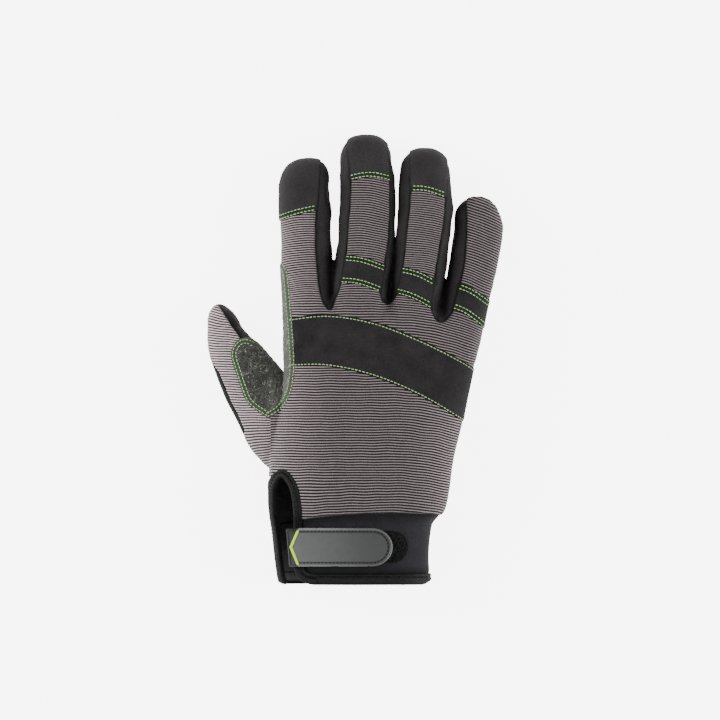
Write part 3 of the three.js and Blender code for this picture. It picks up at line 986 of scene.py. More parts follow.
class Effects:
    """The shader effects that several finishes share."""

    def __init__(self) -> None:
        """Builds each effect once."""
        self.grain = self.make_grain()
        self.mottle = self.make_mottle()
        self.seam = self.make_seam()

    @staticmethod
    def new_group(name: str, inputs: dict[str, float], outputs: Sequence[str]) -> tuple:
        """An empty effect with named numbers in and out.

        Args:
            name: The effect's name.
            inputs: Its numbers with their usual values.
            outputs: Names of what it gives.

        Returns:
            The tree, its graph, and its input and output nodes.
        """
        tree = bpy.data.node_groups.new(name, "ShaderNodeTree")
        number = "NodeSocketFloat"
        for key, value in inputs.items():
            socket = tree.interface.new_socket(name=key, in_out="INPUT", socket_type=number)
            socket.default_value = value
        for key in outputs:
            tree.interface.new_socket(name=key, in_out="OUTPUT", socket_type=number)
        graph = Graph(tree)
        return tree, graph, tree.nodes.new("NodeGroupInput"), tree.nodes.new("NodeGroupOutput")

    def make_grain(self) -> bpy.types.NodeTree:
        """A fine weave: two crossed sets of threads with uneven thickness."""
        usual = {"Threads": 1600.0, "Unevenness": 0.5}
        tree, g, start, end = self.new_group("fine_weave", usual, ["Height"])
        place = g.place()
        apart = g.node("SeparateXYZ", {0: place})
        uneven = g.noise(place, 420.0, 2.0)
        sway = g.math("MULTIPLY", uneven, start.outputs["Unevenness"])
        waves = []
        for axis in ("X", "Y"):
            run = g.math("ADD", apart.outputs[axis], g.math("MULTIPLY", apart.outputs["Z"], 0.7))
            turn = g.math("ADD", g.math("MULTIPLY", run, start.outputs["Threads"]), sway)
            waves.append(g.math("SINE", g.math("MULTIPLY", turn, 2 * math.pi)))
        both = g.math("MULTIPLY", waves[0], waves[1])
        g.feed(end.inputs["Height"], g.math("ADD", g.math("MULTIPLY", both, 0.4), uneven))
        return tree

    def make_mottle(self) -> bpy.types.NodeTree:
        """Uneven tone at two scales, about 0 to 1."""
        usual = {"Coarse": 90.0, "Fine": 900.0, "Share": 0.5}
        tree, g, start, end = self.new_group("mottle", usual, ["Tone"])
        place = g.place()
        coarse = g.noise(place, start.outputs["Coarse"], 3.0)
        fine = g.noise(place, start.outputs["Fine"], 2.0)
        part = g.math("MULTIPLY", g.math("SUBTRACT", fine, coarse), start.outputs["Share"])
        tone = g.math("ADD", coarse, part)
        g.feed(end.inputs["Tone"], g.spread(tone, (0.3, 0.7), (0.0, 1.0)))
        return tree

    def make_seam(self) -> bpy.types.NodeTree:
        """How far a place is from its piece's edge: 0 in the seam and 1 clear of it."""
        tree, g, start, end = self.new_group("seam_shade", {"Width": 2.0}, ["Clear"])
        share = g.math("DIVIDE", g.carried("edge"), start.outputs["Width"])
        g.feed(end.inputs["Clear"], g.spread(share, (0.0, 1.0), (0.0, 1.0)))
        return tree


def dressed(
    name: str,
    paint: Callable[[Graph], tuple[object, object, object]],
    roughness: float,
    bump: float,
    sheen: float = 0.0,
    specular: float = 0.5,
) -> bpy.types.Material:
    """A material with one shader.

    Args:
        name: The material's name.
        paint: Gives the colour, the roughness or None, and the bump's height in millimetres.
        roughness: Roughness where the paint gives none.
        bump: Strength of the bump, from 0 to 1.
        sheen: Weight of the soft light at grazing angles.
        specular: Level of the plain reflection.

    Returns:
        The material.
    """
    material = bpy.data.materials.new(name)
    material.use_nodes = True
    material.node_tree.nodes.clear()
    g = Graph(material.node_tree)
    colour, rough, height = paint(g)
    shader = g.node("BsdfPrincipled", {"Roughness": roughness, "Specular IOR Level": specular})
    shader.inputs["Sheen Weight"].default_value = sheen
    shader.inputs["Sheen Roughness"].default_value = 0.5
    g.feed(shader.inputs["Base Color"], colour)
    if rough is not None:
        g.feed(shader.inputs["Roughness"], rough)
    if height is not None:
        relief = g.node("Bump", {"Strength": bump, "Distance": MM, "Height": height})
        g.feed(shader.inputs["Normal"], relief.outputs[0])
    g.feed(g.node("OutputMaterial").inputs["Surface"], shader.outputs[0])
    return material


@dataclass(frozen=True)
class StripedKnit:
    """Ribbed grey knit: light ribs with dark grooves between, painted light on its sides and
    painted shade at its seams.
    """

    groove: Colour = linear(25, 20, 21)
    rib: Colour = linear(146, 134, 135)
    # Where the light part of a rib starts and ends, from its groove at 0 to its crest at 0.5
    rising: Point2 = (0.18, 0.44)
    melange: float = 0.35
    # Painted light, brighter left and right sides: X or Y from where to where, in metres
    left: Point2 = (-0.008, -0.047)
    right: Point2 = (0.025, 0.06)
    right_below: Point2 = (0.015, -0.05)
    painted_side_light: Point2 = (0.95, 0.65)
    # Share of the painted light left at the thumb's root, and Y from where to where it grows back
    root_share: float = 1.0
    root: Point2 = (-0.062, -0.015)

    def material(self, effects: Effects, name: str, lighter: float = 1.0) -> bpy.types.Material:
        """The knit's material, with its ribs lighter by a factor of painted light."""

        def paint(g: Graph) -> tuple[object, object, object]:
            side = g.math("PINGPONG", g.carried("rib"), 0.5)
            crest = g.spread(side, self.rising, (0.0, 1.0))
            tone = g.group(effects.mottle, Coarse=260.0, Fine=2600.0, Share=0.7)
            weave = g.group(effects.grain, Threads=1900.0, Unevenness=0.8)
            place = g.node("SeparateXYZ", {0: g.place()})
            # Painted light: the ribs grow brighter towards the left and right sides, and on the
            # thumb by a factor
            left = g.spread(place.outputs["X"], self.left, (0.0, self.painted_side_light[0]))
            right = g.spread(place.outputs["X"], self.right, (0.0, self.painted_side_light[1]))
            below = g.spread(place.outputs["Y"], self.right_below, (0.0, 1.0))
            grown = g.spread(place.outputs["Y"], self.root, (self.root_share * lighter, lighter))
            factor = g.math("ADD", g.math("ADD", left, g.math("MULTIPLY", right, below)), grown)
            darker = tuple(c * (1 - self.melange) for c in self.rib)
            rib = g.brighter(g.mix(tone, darker, self.rib), factor)
            colour = g.mix(crest, self.groove, rib)
            # Painted shade: the ribs darken to the grooves' colour along the seams
            seam = g.group(effects.seam, Width=1.4)
            colour = g.mix(g.math("SUBTRACT", 1.0, seam), colour, self.groove)
            return colour, None, g.math("MULTIPLY", weave, 0.05)

        return dressed(name, paint, 0.9, 1.0, sheen=0.1, specular=0.2)


@dataclass(frozen=True)
class Cloth:
    """A plain dark cloth, from a light and a dark tone with a fine weave, and painted shade along
    its seams.
    """

    name: str
    dark: Colour
    light: Colour
    threads: float
    weave: float
    roughness: float
    sheen: float
    coarse: float = 120.0
    fine: float = 1500.0
    # Width of the painted shade along the seams, in millimetres
    seam_width: float = 1.2
    specular: float = 0.15
    tint: Colour | None = None

    def material(self, effects: Effects) -> bpy.types.Material:
        """The cloth's material."""

        def paint(g: Graph) -> tuple[object, object, object]:
            tone = g.group(effects.mottle, Coarse=self.coarse, Fine=self.fine, Share=0.5)
            weave = g.group(effects.grain, Threads=self.threads, Unevenness=0.7)
            colour = g.mix(tone, self.dark, self.light)
            if self.tint is not None:
                colour = g.tinted(colour, self.tint)
            # Painted shade: the cloth darkens along its seams
            seam = g.group(effects.seam, Width=self.seam_width)
            seam_shade_colour = tuple(c * 0.55 for c in self.dark)
            colour = g.mix(g.math("SUBTRACT", 1.0, seam), colour, seam_shade_colour)
            rough = g.spread(tone, (0.0, 1.0), (self.roughness - 0.08, self.roughness + 0.06))
            return colour, rough, g.math("MULTIPLY", weave, self.weave)

        shine = {"sheen": self.sheen, "specular": self.specular}
        return dressed(self.name, paint, self.roughness, 1.0, **shine)


@dataclass(frozen=True)
class Leather:
    """Smooth black synthetic leather with a fine pebbled grain."""

    dark: Colour = linear(14, 13, 14)
    light: Colour = linear(25, 24, 25)

    def material(self, effects: Effects) -> bpy.types.Material:
        """The leather's material."""

        def paint(g: Graph) -> tuple[object, object, object]:
            cells = g.node("TexVoronoi", {"Vector": g.place(), "Scale": 950.0}, feature="SMOOTH_F1")
            tone = g.group(effects.mottle, Coarse=110.0, Fine=1300.0, Share=0.4)
            colour = g.mix(tone, self.dark, self.light)
            rough = g.spread(tone, (0.0, 1.0), (0.5, 0.68))
            height = g.math("MULTIPLY", cells.outputs[0], 0.09)
            return colour, rough, height

        return dressed("palm_leather", paint, 0.6, 0.9, specular=0.13)


@dataclass(frozen=True)
class Suede:
    """Napped suede: grey beside the index finger, partly a painted highlight, and dark and brushed
    on the thumb.
    """

    dark: Colour = linear(32, 32, 30)
    middle: Colour = linear(74, 75, 70)
    light: Colour = linear(88, 88, 81)
    stroke: Colour = linear(158, 158, 148)
    tint: Colour = linear(56, 74, 50)
    stroke_scales: Point2 = (240.0, 370.0)
    stroke_share: float = 0.7
    # X from where to where the dark side turns into the grey one, which is partly a painted
    # highlight, in metres
    crotch: Point2 = (-0.0495, -0.0445)

    @staticmethod
    def strokes(g: Graph, place: object, scale: float) -> bpy.types.NodeSocket:
        """Short curly brush strokes: thin lines where a swirled noise crosses its middle value."""
        noise = g.noise(place, scale, 1.0, Distortion=1.4)
        off = g.math("ABSOLUTE", g.math("SUBTRACT", noise, 0.5))
        line = g.spread(off, (0.006, 0.024), (1.0, 0.0))
        broken = g.noise(place, scale * 0.8, 1.0)
        return g.math("MULTIPLY", line, g.spread(broken, (0.42, 0.58), (0.0, 1.0)))

    def material(self, effects: Effects) -> bpy.types.Material:
        """The suede's material."""

        def paint(g: Graph) -> tuple[object, object, object]:
            place = g.place()
            strokes = [self.strokes(g, place, scale) for scale in self.stroke_scales]
            stroke = g.math("MAXIMUM", *strokes)
            blot = g.group(effects.mottle, Coarse=200.0, Fine=1100.0, Share=0.6)
            x = g.node("SeparateXYZ", {0: place}).outputs["X"]
            # Painted highlight in part: the grey beside the index finger stands for light from
            # above
            side = g.spread(x, self.crotch, (0.0, 1.0))
            low = g.mix(side, self.dark, self.middle)
            high = g.mix(side, self.middle, self.light)
            colour = g.mix(g.math("MULTIPLY", blot, 0.75), low, high)
            colour = g.mix(g.math("MULTIPLY", stroke, self.stroke_share), colour, self.stroke)
            colour = g.tinted(colour, self.tint)
            height = g.math("ADD", g.math("MULTIPLY", stroke, 0.25), g.math("MULTIPLY", blot, 0.3))
            return colour, None, height

        return dressed("suede_nap", paint, 0.95, 1.0, sheen=0.3, specular=0.15)


@dataclass(frozen=True)
class Moulded:
    """Moulded rubber with a fine matt texture and a lighter raised rim."""

    name: str
    face: Colour
    rim: Colour
    roughness: float
    rim_width: float = 1.3
    tint: Colour | None = None
    # Painted sheen along the tab: X from where to where the colour changes, in metres, and its
    # factors there
    painted_sheen_span: Point2 = (0.0, 1.0)
    painted_sheen_gain: Point2 = (1.0, 1.0)

    def material(self, effects: Effects) -> bpy.types.Material:
        """The rubber's material."""

        def paint(g: Graph) -> tuple[object, object, object]:
            tone = g.group(effects.mottle, Coarse=300.0, Fine=3000.0, Share=0.6)
            face = g.mix(tone, tuple(c * 0.85 for c in self.face), self.face)
            clear = g.group(effects.seam, Width=self.rim_width)
            colour = g.mix(clear, self.rim, face)
            if self.tint is not None:
                colour = g.tinted(colour, self.tint)
            # Painted sheen: the colour is scaled by a factor that changes along X
            x = g.node("SeparateXYZ", {0: g.place()}).outputs["X"]
            colour = g.brighter(colour, g.spread(x, self.painted_sheen_span, self.painted_sheen_gain))
            return colour, None, g.math("MULTIPLY", tone, 0.06)

        return dressed(self.name, paint, self.roughness, 0.8, specular=0.5)


@dataclass(frozen=True)
class Thread:
    """Twisted sewing thread."""

    name: str
    dark: Colour
    light: Colour

    def material(self, effects: Effects) -> bpy.types.Material:
        """The thread's material."""

        def paint(g: Graph) -> tuple[object, object, object]:
            tone = g.group(effects.mottle, Coarse=700.0, Fine=3500.0, Share=0.6)
            return g.mix(tone, self.dark, self.light), None, g.math("MULTIPLY", tone, 0.06)

        return dressed(self.name, paint, 0.7, 0.8, sheen=0.02, specular=0.15)


@dataclass
class Finishes:
    """Every material of the glove, made once."""

    effects: Effects = field(default_factory=Effects)

    def __post_init__(self) -> None:
        """Makes the materials."""
        make = self.effects
        self.stripes = StripedKnit().material(make, "striped_knit")
        # A lit copy of the knit: painted light makes the thumb's ribs and grooves lighter
        self.lit_thumb_stripes = StripedKnit(
            groove=linear(52, 45, 46), painted_side_light=(0.0, 0.0), root_share=0.72
        ).material(make, "striped_knit_thumb_lit", 3.35)
        self.leather = Leather().material(make)
        self.stretch = Cloth(
            "stretch_cloth", linear(29, 27, 28), linear(46, 44, 45), 2200.0, 0.10, 0.8, 0.03,
            specular=0.1, tint=linear(22, 42, 19),
        ).material(make)
        # The caps' lighter, broader tone paints their soft sheen in part
        self.caps = Cloth(
            "fingertip_cloth", linear(31, 29, 30), linear(51, 48, 49), 2200.0, 0.10, 0.7, 0.05,
            coarse=45.0, specular=0.15, tint=linear(22, 42, 19),
        ).material(make)
        self.sides = Cloth(
            "finger_side_cloth", linear(20, 18, 18), linear(42, 39, 39), 2000.0, 0.10, 0.6, 0.03,
            coarse=60.0, specular=0.18,
        ).material(make)
        self.suede = Suede().material(make)
        # Wide painted shade along the cuff's seams, deepest under its top seam
        self.neoprene = Cloth(
            "neoprene_knit", linear(26, 24, 28), linear(44, 42, 47), 1500.0, 0.12, 0.75, 0.04,
            seam_width=5.5,
        ).material(make)
        self.binding = Cloth(
            "binding_tape", linear(5, 5, 6), linear(13, 13, 14), 1300.0, 0.16, 0.5, 0.0,
            specular=0.19,
        ).material(make)
        self.loops = Cloth(
            "loop_pile", linear(5, 5, 5), linear(26, 26, 26), 700.0, 0.8, 0.95, 0.05, coarse=900.0
        ).material(make)
        self.lining = Cloth(
            "lining_knit", linear(52, 52, 52), linear(80, 80, 80), 1200.0, 0.1, 0.95, 0.0
        ).material(make)
        # Painted sheen lighter to the left; the tint darkens the tab's left end and paints shade in
        # a groove along its stitches
        self.rubber = Moulded(
            "tab_rubber", linear(72, 74, 73), linear(118, 121, 118), 0.5, rim_width=1.0,
            tint=linear(22, 24, 22), painted_sheen_span=(-0.026, 0.014), painted_sheen_gain=(1.45, 0.72),
        ).material(make)
        lime = (0.56, 0.86, 0.01)
        self.lime = Moulded("lime_accent", lime, lime, 0.45).material(make)
        self.lime_thread = Thread(
            "lime_thread", linear(124, 154, 94), linear(212, 230, 188)
        ).material(make)
        self.black_thread = Thread(
            "black_thread", linear(8, 8, 8), linear(30, 30, 31)
        ).material(make)


class Outlines:
    """Outlines of the sewn pieces, seen from above, as smooth closed lines."""

    def __init__(self) -> None:
        """Draws them from the seams' tables."""
        self.between = {
            "index_middle": self.fourchette("index_middle", "index_right", "middle_left"),
            "middle_ring": self.fourchette("middle_ring", "middle_right", "ring_left"),
            "ring_little": self.fourchette("ring_little", "ring_right", "little_left"),
        }
        self.crease = along(THUMB_CREASE)
        crotch = along(CROTCH_LINE)
        seam = along(THUMB_SEAM)
        self.hand = np.vstack(
            [
                [(-36, CUFF_TOP_Y - 20), (-36, -66)],
                self.crease[::-1],
                crotch,
                [(-60, PAST_TIPS_Y), (110, PAST_TIPS_Y), (110, CUFF_TOP_Y - 20)],
            ]
        )
        self.thumb_back = np.vstack(
            [[(-110, -64)], self.crease[::-1], seam, [(-80, 50), (-110, 50)]]
        )
        self.thumb_inner = np.vstack([seam, [(-80, 50)], crotch[::-1], self.crease[:1]])
        self.patch_border = np.vstack([along(PATCH_ON_THUMB), along(PATCH_ON_INDEX)[1:]])
        self.patch = np.vstack([self.patch_border, CROTCH_SPACE])
        self.slit = along(SLIT, 5)

    @staticmethod
    def fourchette(slot: str, left: str, right: str) -> np.ndarray:
        """The rounded outline of a finger-side strip between two seams."""
        line = along([*reversed(SEAMS[left]), SLOTS[slot], *SEAMS[right]])
        return np.vstack([[(line[0][0], PAST_TIPS_Y)], line, [(line[-1][0], PAST_TIPS_Y)]])


def side_seam(places: np.ndarray) -> np.ndarray:
    """Height of the seam round the glove's side, which rises along the thumb's outer border."""
    x, y = places[:, 0], places[:, 1]
    outer = np.interp(y, *np.array(THUMB_BORDER).T)
    risen = reach(y, -47, -37) * (1 - reach(y, -8, 4)) * (1 - reach(x - outer, 6, 11))
    return SIDE_SEAM_Z + THUMB_SEAM_RISE * risen


def cuff_top(places: np.ndarray) -> np.ndarray:
    """Line of the seam between the cuff and the hand, which rises in the middle."""
    return CUFF_TOP_Y + 1.3 - 0.0017 * (places[:, 0] - 18) ** 2


def binding_width(places: np.ndarray) -> np.ndarray:
    """Width of the slit's binding, which widens to the hem's where it runs on into it."""
    x, y = places[:, 0], places[:, 1]
    grown = reach(x, -36, -24) * (1 - reach(y, -116, -108))
    return SLIT_BINDING + (HEM_WIDTH - SLIT_BINDING) * grown


def hem_end(places: np.ndarray) -> np.ndarray:
    """Line of the hem's open end, with its corners rounded off."""
    return HEM_Y + 2.6 * reach(np.abs(places[:, 0] + 0.5), 35, 43) ** 2


@dataclass
class Shell:
    """The glove's shell: striped back, thumb, leather palm and the cloth between the fingers."""

    lines: Outlines
    ribs: RibField = field(default_factory=RibField)
    side_flats: dict[str, tuple[tuple[float, float], float]] = field(
        default_factory=lambda: {
            "index_middle": ((0.03, 0.165), 0.0024),
            "middle_ring": ((0.024, 0.16), 0.0019),
            "ring_little": ((0.026, 0.15), 0.0021),
        }
    )

    def back_field(self, p: np.ndarray) -> np.ndarray:
        """Distance inside the striped back of the hand and fingers."""
        inside = np.minimum(p[:, 2] - side_seam(p), within(self.lines.hand, p))
        inside = np.minimum(inside, p[:, 1] - cuff_top(p))
        inside = np.minimum(inside, -within(self.lines.slit, p) - SLIT_BINDING + BINDING_LAP)
        for outline in self.lines.between.values():
            inside = np.minimum(inside, -within(outline, p))
        return inside

    @staticmethod
    def above_split(p: np.ndarray) -> np.ndarray:
        """Distance above the line where the back is cut in two."""
        return p[:, 1] - np.interp(p[:, 0], *np.array(BACK_SPLIT).T)

    def near_split(self, p: np.ndarray) -> np.ndarray:
        """Distance added along the hidden cut, so that the cloth runs on over it."""
        return RUN_ON * (1 - reach(np.abs(self.above_split(p)), 1, 5))

    def soft_crease(self, p: np.ndarray) -> np.ndarray:
        """Distance added along the thumb's crease, where the cloth is folded and not sewn."""
        off = line_distance(self.lines.crease, p)
        return RUN_ON * (1 - reach(off, 1.5, 5)) * (1 - reach(p[:, 1], -34, -28))

    def thumb_field(self, p: np.ndarray) -> np.ndarray:
        """Distance inside the thumb's striped back."""
        inside = np.minimum(p[:, 2] - side_seam(p), within(self.lines.thumb_back, p))
        return np.minimum(inside, -within(self.lines.slit, p) - SLIT_BINDING + BINDING_LAP)

    def build(self, tailor: Tailor, finishes: Finishes) -> None:
        """Cuts the pieces of the shell."""
        parts = (
            ("back_cloth_hand", -1, (0.13, 0.12), 0.0118),
            ("back_cloth_fingers", 1, (0.15, 0.14), 0.015),
        )
        for name, side, flat, area in parts:
            back = Sewn(
                name, ("back_panel",), "stripes", 0.3, 1.1, 0.8, 1.6, flat, area, pucker=0.22
            )
            tailor.cut(
                back,
                lambda p, side=side: np.minimum(self.back_field(p), side * self.above_split(p)),
                finishes.stripes,
                ribs=self.ribs.count,
                open_edge=lambda p: self.soft_crease(p) + self.near_split(p),
            )
        thumb = Sewn(
            "thumb_back_cloth", ("thumb_back",), "stripes", 0.3, 1.1, 0.8, 1.6, (0.04, 0.1), 0.0024,
            pucker=0.22,
        )
        tailor.cut(
            thumb,
            self.thumb_field,
            finishes.lit_thumb_stripes,
            ribs=self.ribs.thumb_count,
            open_edge=self.soft_crease,
        )
        inner = Sewn(
            "thumb_inner_cloth", ("thumb_inner_panel",), "stretch", 0.1, 1.0, 0.8, 1.6,
            (0.03, 0.06), 0.00105, pucker=0.2, refine=1,
        )
        tailor.cut(
            inner,
            lambda p: np.minimum(p[:, 2] - side_seam(p), within(self.lines.thumb_inner, p)),
            finishes.sides,
        )
        palm = Sewn(
            "palm_leather", ("palm_panel",), "leather", 0.1, 1.1, 0.35, 1.8, (0.19, 0.22), 0.028,
            pucker=0.15,
        )
        tailor.cut(
            palm,
            lambda p: np.minimum(side_seam(p) - p[:, 2], p[:, 1] - cuff_top(p)),
            finishes.leather,
        )
        for name, outline in self.lines.between.items():
            flat, area = self.side_flats[name]
            side = Sewn(
                f"finger_sides_{name}", (f"fourchette_{name}",), "stretch", 0.15, 1.0, 0.5, 1.8,
                flat, area, pucker=0.25, refine=1,
            )
            tailor.cut(
                side,
                lambda p, shape=outline: np.minimum(p[:, 2] - side_seam(p), within(shape, p)),
                finishes.sides,
                relief=self.folds,
            )

    @staticmethod
    def folds(places: np.ndarray, edge: np.ndarray) -> np.ndarray:
        """Soft folds of the loose cloth between the fingers."""
        long_folds = ripple(places * np.array([1.0, 0.45, 1.0]), 11, 11)
        cross_folds = ripple(places * np.array([0.5, 1.0, 0.5]), 6, 12)
        return (0.45 * long_folds + 0.2 * cross_folds) * reach(edge, 0.5, 3)


@dataclass
class Lining:
    """The knit lining inside the shell, seen through the slit and the open end."""

    depth: float = 1.35
    thickness: float = 0.5
    end_y: float = HEM_Y + 1.5
    top_y: float = 34.0
    voxel: float = 1.6
    rounds: int = 3
    # The slit's edge in the lining lies this far inside the slit's own
    slit_inset: float = 1.0

    def build(self, form: GloveForm, lines: Outlines, finishes: Finishes) -> None:
        """Cuts the lining from a coarser form."""
        tailor = Tailor(form.surface(self.voxel, self.rounds, with_digits=False))
        piece = Sewn(
            "lining", (), "stretch", -self.depth, self.thickness, 0.0, 1.0, (0.25, 0.17), 0.035
        )

        def inside(p: np.ndarray) -> np.ndarray:
            """Distance inside the lining."""
            open_slit = np.minimum(
                within(lines.slit, p) + self.slit_inset, p[:, 2] - SIDE_SEAM_Z
            )
            return np.minimum.reduce([p[:, 1] - self.end_y, self.top_y - p[:, 1], -open_slit])

        tailor.cut(piece, inside, finishes.lining)


@dataclass
class Overlays:
    """The pieces sewn on the shell: knuckle strap, finger bands, fingertip caps, crotch patch."""

    lines: Outlines
    height: float = 1.0
    thickness: float = 0.9
    strap_upper: tuple[Point2, ...] = (
        (-37, 23.0), (-15, 25), (10, 21), (35.5, 11.3), (58, 0), (72, -9),
    )
    strap_lower: tuple[Point2, ...] = (
        (-37, -3.8), (-15, -3.8), (10, -9.3), (35.5, -20), (58, -33.3), (70, -41),
    )
    bands: dict[str, tuple[tuple[Point2, ...], tuple[Point2, ...]]] = field(
        default_factory=lambda: {
            "middle": (((-9, 58), (4, 56.6), (20, 51)), ((-11, 42.2), (2, 41), (17, 35.6))),
            "ring": (((22.5, 51.9), (35, 48.8), (48, 42)), ((18.5, 37), (31, 33.4), (45.5, 25.6))),
            "little": (((54, 43.4), (65, 39), (80, 28.5)), ((50, 29), (61, 24.4), (76, 12.6))),
        }
    )
    caps: dict[str, tuple[Point2, ...]] = field(
        default_factory=lambda: {
            "index": ((-46, 75), (-32, 79.6), (-18, 82.6)),
            "middle": ((-6, 97.8), (8, 100.2), (22, 97.4)),
            "ring": ((27, 92.6), (39, 92.2), (53, 87.4)),
        }
    )
    flats: dict[str, tuple[tuple[float, float], float]] = field(
        default_factory=lambda: {
            "knuckle_strap": ((0.14, 0.045), 0.0037),
            "band_middle": ((0.032, 0.02), 0.00043),
            "band_ring": ((0.032, 0.022), 0.00038),
            "band_little": ((0.036, 0.024), 0.0006),
            "cap_index": ((0.036, 0.044), 0.0011),
            "cap_middle": ((0.03, 0.04), 0.0008),
            "cap_ring": ((0.03, 0.04), 0.0008),
        }
    )
    # Where the green thread shows between stitches, as distances from the border
    strap_trim: Point2 = (0.5, 1.4)
    double_trim: Point2 = (0.4, 3.2)
    patch_trim: Point2 = (0.3, 3.0)
    trim_blur: float = 0.3
    # An overlay may pass the shell's own edge this far
    overhang: float = 0.2
    patch_floor: float = 0.4
    # On a steep side a distance from above is less than along the cloth, down to this share
    least_share: float = 0.12

    def build(self, tailor: Tailor, finishes: Finishes, shell: Shell) -> None:
        """Cuts the pieces."""
        held_by = shell.back_field

        def strip(upper: Sequence[Point2], lower: Sequence[Point2]) -> np.ndarray:
            """The outline between two lines across the glove."""
            return np.vstack([along(upper), along(lower)[::-1]])

        def sewn(
            name: str, node: str, outline: np.ndarray, *sewn_lines: Sequence[Point2]
        ) -> None:
            """Cuts one overlay, with green thread along its sewn lines."""
            flat, area = self.flats[name]
            piece = Sewn(
                f"{name}_cloth", (node,), "stretch", self.height, self.thickness, 0.45, 0.9,
                flat, area, pucker=0.1, refine=1,
            )
            rows = self.strap_trim if name == "knuckle_strap" else self.double_trim
            borders = [along(line) for line in sewn_lines]

            def inside(p: np.ndarray) -> np.ndarray:
                """Distance inside the overlay, on the shell and beside the patch."""
                held = held_by(p) + self.overhang
                return np.minimum.reduce(
                    [within(outline, p), held, -within(self.lines.patch, p)]
                )

            tailor.cut(
                piece,
                inside,
                finishes.caps if name.startswith("cap") else finishes.stretch,
                tint=lambda p, n: np.max(
                    [self.trim(line_distance(b, p), rows) for b in borders], axis=0
                ),
            )

        strap = (self.strap_upper, self.strap_lower)
        sewn("knuckle_strap", "knuckle_strap", strip(*strap), *strap)
        for finger, (upper, lower) in self.bands.items():
            sewn(f"band_{finger}", f"knuckle_band_{finger}", strip(upper, lower), upper, lower)
        for finger, border in self.caps.items():
            line = along(border)
            outline = np.vstack([line, [(line[-1][0], PAST_TIPS_Y), (line[0][0], PAST_TIPS_Y)]])
            sewn(f"cap_{finger}", f"fingertip_cap_{finger}", outline, border)
        patch = Sewn(
            "crotch_patch_suede", ("crotch_patch",), "suede", 1.1, 1.0, 0.5, 0.9,
            (0.075, 0.12), 0.0037, pucker=0.2, refine=1,
        )
        tailor.cut(
            patch,
            lambda p: np.minimum(within(self.lines.patch, p), p[:, 2] - self.patch_floor),
            finishes.suede,
            relief=lambda p, edge: 0.22 * ripple(p, 2.3, 31) * reach(edge, 3.0, 4.5),
            tint=lambda p, n: self.trim(
                line_distance(self.lines.patch_border, p) / np.clip(n[:, 2], self.least_share, 1),
                self.patch_trim,
            ),
        )

    def trim(self, distance: np.ndarray, rows: Point2) -> np.ndarray:
        """Share of green thread at a distance from a border, between two distances."""
        grown, faded = (reach(distance, at, at + self.trim_blur) for at in rows)
        return grown * (1 - faded)


